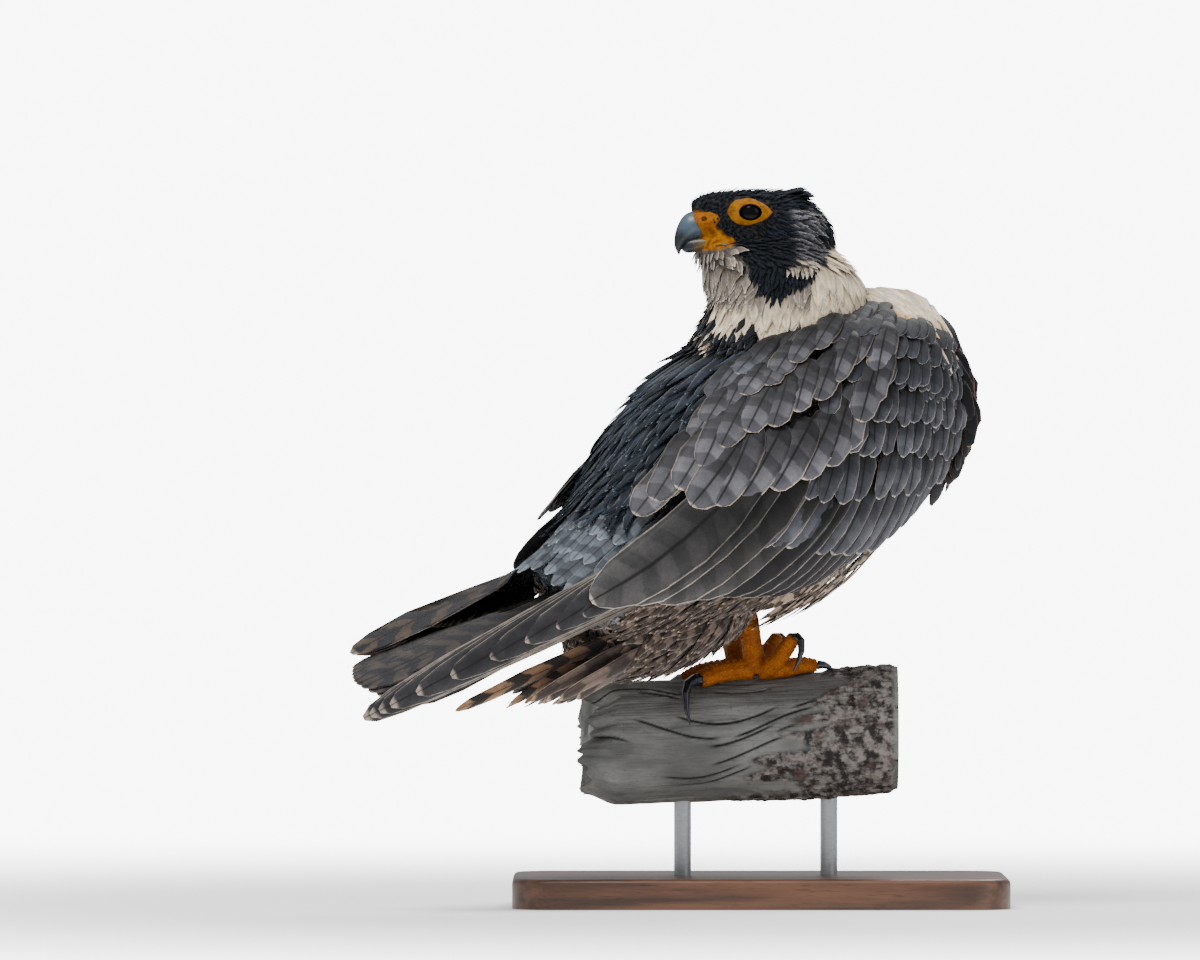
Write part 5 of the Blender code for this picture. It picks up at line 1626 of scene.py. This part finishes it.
def make_stage(sky, power):
    """Floor, sky, lamps and camera."""
    scene = bpy.context.scene
    form = bmesh.new()
    bmesh.ops.create_circle(form, cap_ends=True, segments=96, radius=FLOOR_RADIUS)
    floor = shaped("floor", form)
    floor.location.z = -FLOOR_DROP
    floor.data.materials.append(pale_floor("matt_pale_floor"))
    scene.world = soft_sky("soft_sky", sky)
    for name, place, target, size, watts in LAMPS:
        data = bpy.data.lights.new(name, "AREA")
        data.shape, data.size, data.energy = "DISK", size, watts * power
        lamp = bpy.data.objects.new(name, data)
        scene.collection.objects.link(lamp)
        lamp.location = place
        lamp.rotation_euler = (Vector(target) - Vector(place)).to_track_quat("-Z", "Y").to_euler()
    data = bpy.data.cameras.new("camera")
    data.lens, data.sensor_width, data.clip_end = CAMERA_LENS, CAMERA_SENSOR, 60
    scene.camera = bpy.data.objects.new("camera", data)
    scene.collection.objects.link(scene.camera)
    scene.camera.location = CAMERA_PLACE
    scene.camera.rotation_euler = (math.radians(90), 0, 0)


# Properties and operators


def colour_property(name, description, default):
    return FloatVectorProperty(
        name=name, description=description, subtype="COLOR", size=3, min=0, max=1, default=linear(default)
    )


class FalconPlumageSettings(bpy.types.PropertyGroup):
    scale: FloatProperty(name="Density", description="Candidates tried for the small feathers", default=1.0, min=0)
    softness: FloatProperty(
        name="Sheen", description="Soft sheen of the vanes", default=0.25, min=0, max=1, subtype="FACTOR"
    )


class FalconBareSettings(bpy.types.PropertyGroup):
    skin: colour_property("Skin", "Yellow of cere, eye ring and feet", "#ad7200")
    deep: colour_property("Deep skin", "Orange of the older scales", "#8f4800")
    horn: colour_property("Horn", "Blue-grey of the bill's root", "#4a5c6a")
    horn_tip: colour_property("Horn tip", "Near black of the bill's hook", "#15181d")
    foot: colour_property("Foot", "Orange yellow of the scales of the feet", "#a25c08")
    foot_deep: colour_property("Deep foot", "Brown orange between the scales", "#7c3a06")


class FalconStandSettings(bpy.types.PropertyGroup):
    board: FloatVectorProperty(
        name="Board", description="Length, width and thickness", default=BASE_SIZE, subtype="XYZ", unit="LENGTH"
    )
    rod_radius: FloatProperty(
        name="Rod radius", description="Radius of both rods", default=ROD_RADIUS, min=0, unit="LENGTH"
    )


class FalconStageSettings(bpy.types.PropertyGroup):
    sky: FloatProperty(name="Sky", description="Strength of the even light all round", default=0.55, min=0)
    key: FloatProperty(name="Lamps", description="Strength of the lamps", default=1.0, min=0)


class FALCON_OT_plumage(bpy.types.Operator):
    """Skin, contour feathers, wings, tail and tuft"""

    bl_idname = "falcon.plumage"
    bl_label = "Dress the plumage"

    def execute(self, context):
        settings = context.scene.falcon_plumage
        sheen = settings.softness
        # the fifth value, 0.4 where none is given, is how dark the painted shade at each feather's root is
        soft = vane_keratin("contour_feather_keratin", 0.72, sheen, 0.5)
        firm = vane_keratin("flight_feather_keratin", 0.6, sheen * 0.2, 0.35, 0.22)
        velvet = vane_keratin("cap_feather_keratin", 0.85, 0.0, 0.6)
        downy = vane_keratin("pale_down_keratin", 0.85, sheen, 0.6, 0.6)
        skin = body_skin()
        places = [v.co.copy() for v in skin.data.vertices]
        store(skin.data, "bare", "FLOAT", [float(is_bare(p)) for p in places])
        # the skin under each feather takes that feather's colour, darkened as painted shade
        under = [[c * PAINTED_GAP_SHADE for c in LOOKS[classify(p)[1]][0]] + [1] for p in places]
        store(skin.data, "base", "FLOAT_COLOR", under)
        tries = int(TRIES * settings.scale)
        small_feathers(skin, soft, velvet, downy, tries)
        for side in (RIGHT, LEFT):
            wing_feathers(side, firm, downy)
        tail_feathers(firm)
        vent_plumes(soft)
        crown_tuft(velvet)
        flesh = ("torso", "neck", "head", "vent", "thigh_right", "thigh_left")
        settle(skin, skin_under_down("downy_skin"), "slate_feathers", *flesh)
        return {"FINISHED"}


class FALCON_OT_bare_parts(bpy.types.Operator):
    """Bill, cere, eyes with their rings, and feet"""

    bl_idname = "falcon.bare_parts"
    bl_label = "Make the bare parts"

    def execute(self, context):
        settings = context.scene.falcon_bare
        yellow, deep, horn, tip, foot, foot_deep = (
            tuple(getattr(settings, key)) for key in ("skin", "deep", "horn", "horn_tip", "foot", "foot_deep")
        )
        sheath = bill_keratin("bill_keratin", horn, tip)
        mandible = bill_keratin("mandible_keratin", linear("#8a6a2c"), linear("#1c2127"))
        wax = bare_skin("cere_skin", yellow, deep, 1.1 * MM, linear("#9c5208"))
        # the mouth line is black horn, painted shade in the slit of the mouth
        bill(sheath, mandible, wax, talon_horn("mouth_slit_shade"))
        lids = bare_skin("eyelid_skin", linear("#a87200"), linear("#704600"), 0.9 * MM, linear("#a85c0a"))
        eyes(eye_gloss("wet_eye"), lids)
        scales = bare_skin("foot_scales", foot, foot_deep, 1.6 * MM, linear("#7a3d08"))
        plates = bare_skin("foot_plates", foot, foot_deep, 3.0 * MM, linear("#8a480a"))
        feet(scales, plates, talon_horn("talon_keratin"))
        return {"FINISHED"}


class FALCON_OT_perch(bpy.types.Operator):
    """The cut length of limb"""

    bl_idname = "falcon.perch"
    bl_label = "Make the perch"

    def execute(self, context):
        perch_piece(weathered_wood("weathered_limb_wood"))
        return {"FINISHED"}


class FALCON_OT_stand(bpy.types.Operator):
    """Base board and rods"""

    bl_idname = "falcon.stand"
    bl_label = "Make the stand"

    def execute(self, context):
        settings = context.scene.falcon_stand
        walnut, steel = oiled_walnut("oiled_walnut"), brushed_steel("brushed_stainless_steel")
        stand_pieces(walnut, steel, tuple(settings.board), settings.rod_radius)
        return {"FINISHED"}


class FALCON_OT_stage(bpy.types.Operator):
    """Floor, lights and camera"""

    bl_idname = "falcon.stage"
    bl_label = "Set the stage"

    def execute(self, context):
        settings = context.scene.falcon_stage
        make_stage(settings.sky, settings.key)
        return {"FINISHED"}


class FALCON_PT_panel(bpy.types.Panel):
    """The falcon's settings and operators"""

    bl_idname = "FALCON_PT_panel"
    bl_label = "Falcon"
    bl_space_type = "VIEW_3D"
    bl_region_type = "UI"
    bl_category = "Falcon"

    def draw(self, context):
        for key in SETTINGS:
            group = getattr(context.scene, key)
            for name in group.bl_rna.properties.keys():
                if name not in ("rna_type", "name"):
                    self.layout.prop(group, name)
        for name in ("plumage", "bare_parts", "perch", "stand", "stage"):
            self.layout.operator("falcon." + name)


SETTINGS = {
    "falcon_plumage": FalconPlumageSettings,
    "falcon_bare": FalconBareSettings,
    "falcon_stand": FalconStandSettings,
    "falcon_stage": FalconStageSettings,
}
CLASSES = (
    *SETTINGS.values(),
    FALCON_OT_plumage,
    FALCON_OT_bare_parts,
    FALCON_OT_perch,
    FALCON_OT_stand,
    FALCON_OT_stage,
    FALCON_PT_panel,
)


def register():
    for cls in CLASSES:
        bpy.utils.register_class(cls)
    for key, group in SETTINGS.items():
        setattr(bpy.types.Scene, key, PointerProperty(type=group))


def unregister():
    for key in SETTINGS:
        delattr(bpy.types.Scene, key)
    for cls in reversed(CLASSES):
        bpy.utils.unregister_class(cls)


def main():
    register()
    bpy.ops.falcon.plumage()
    bpy.ops.falcon.bare_parts()
    bpy.ops.falcon.perch()
    bpy.ops.falcon.stand()
    bpy.ops.falcon.stage()
    bpy.context.view_layer.update()


if __name__ == "__main__":
    main()
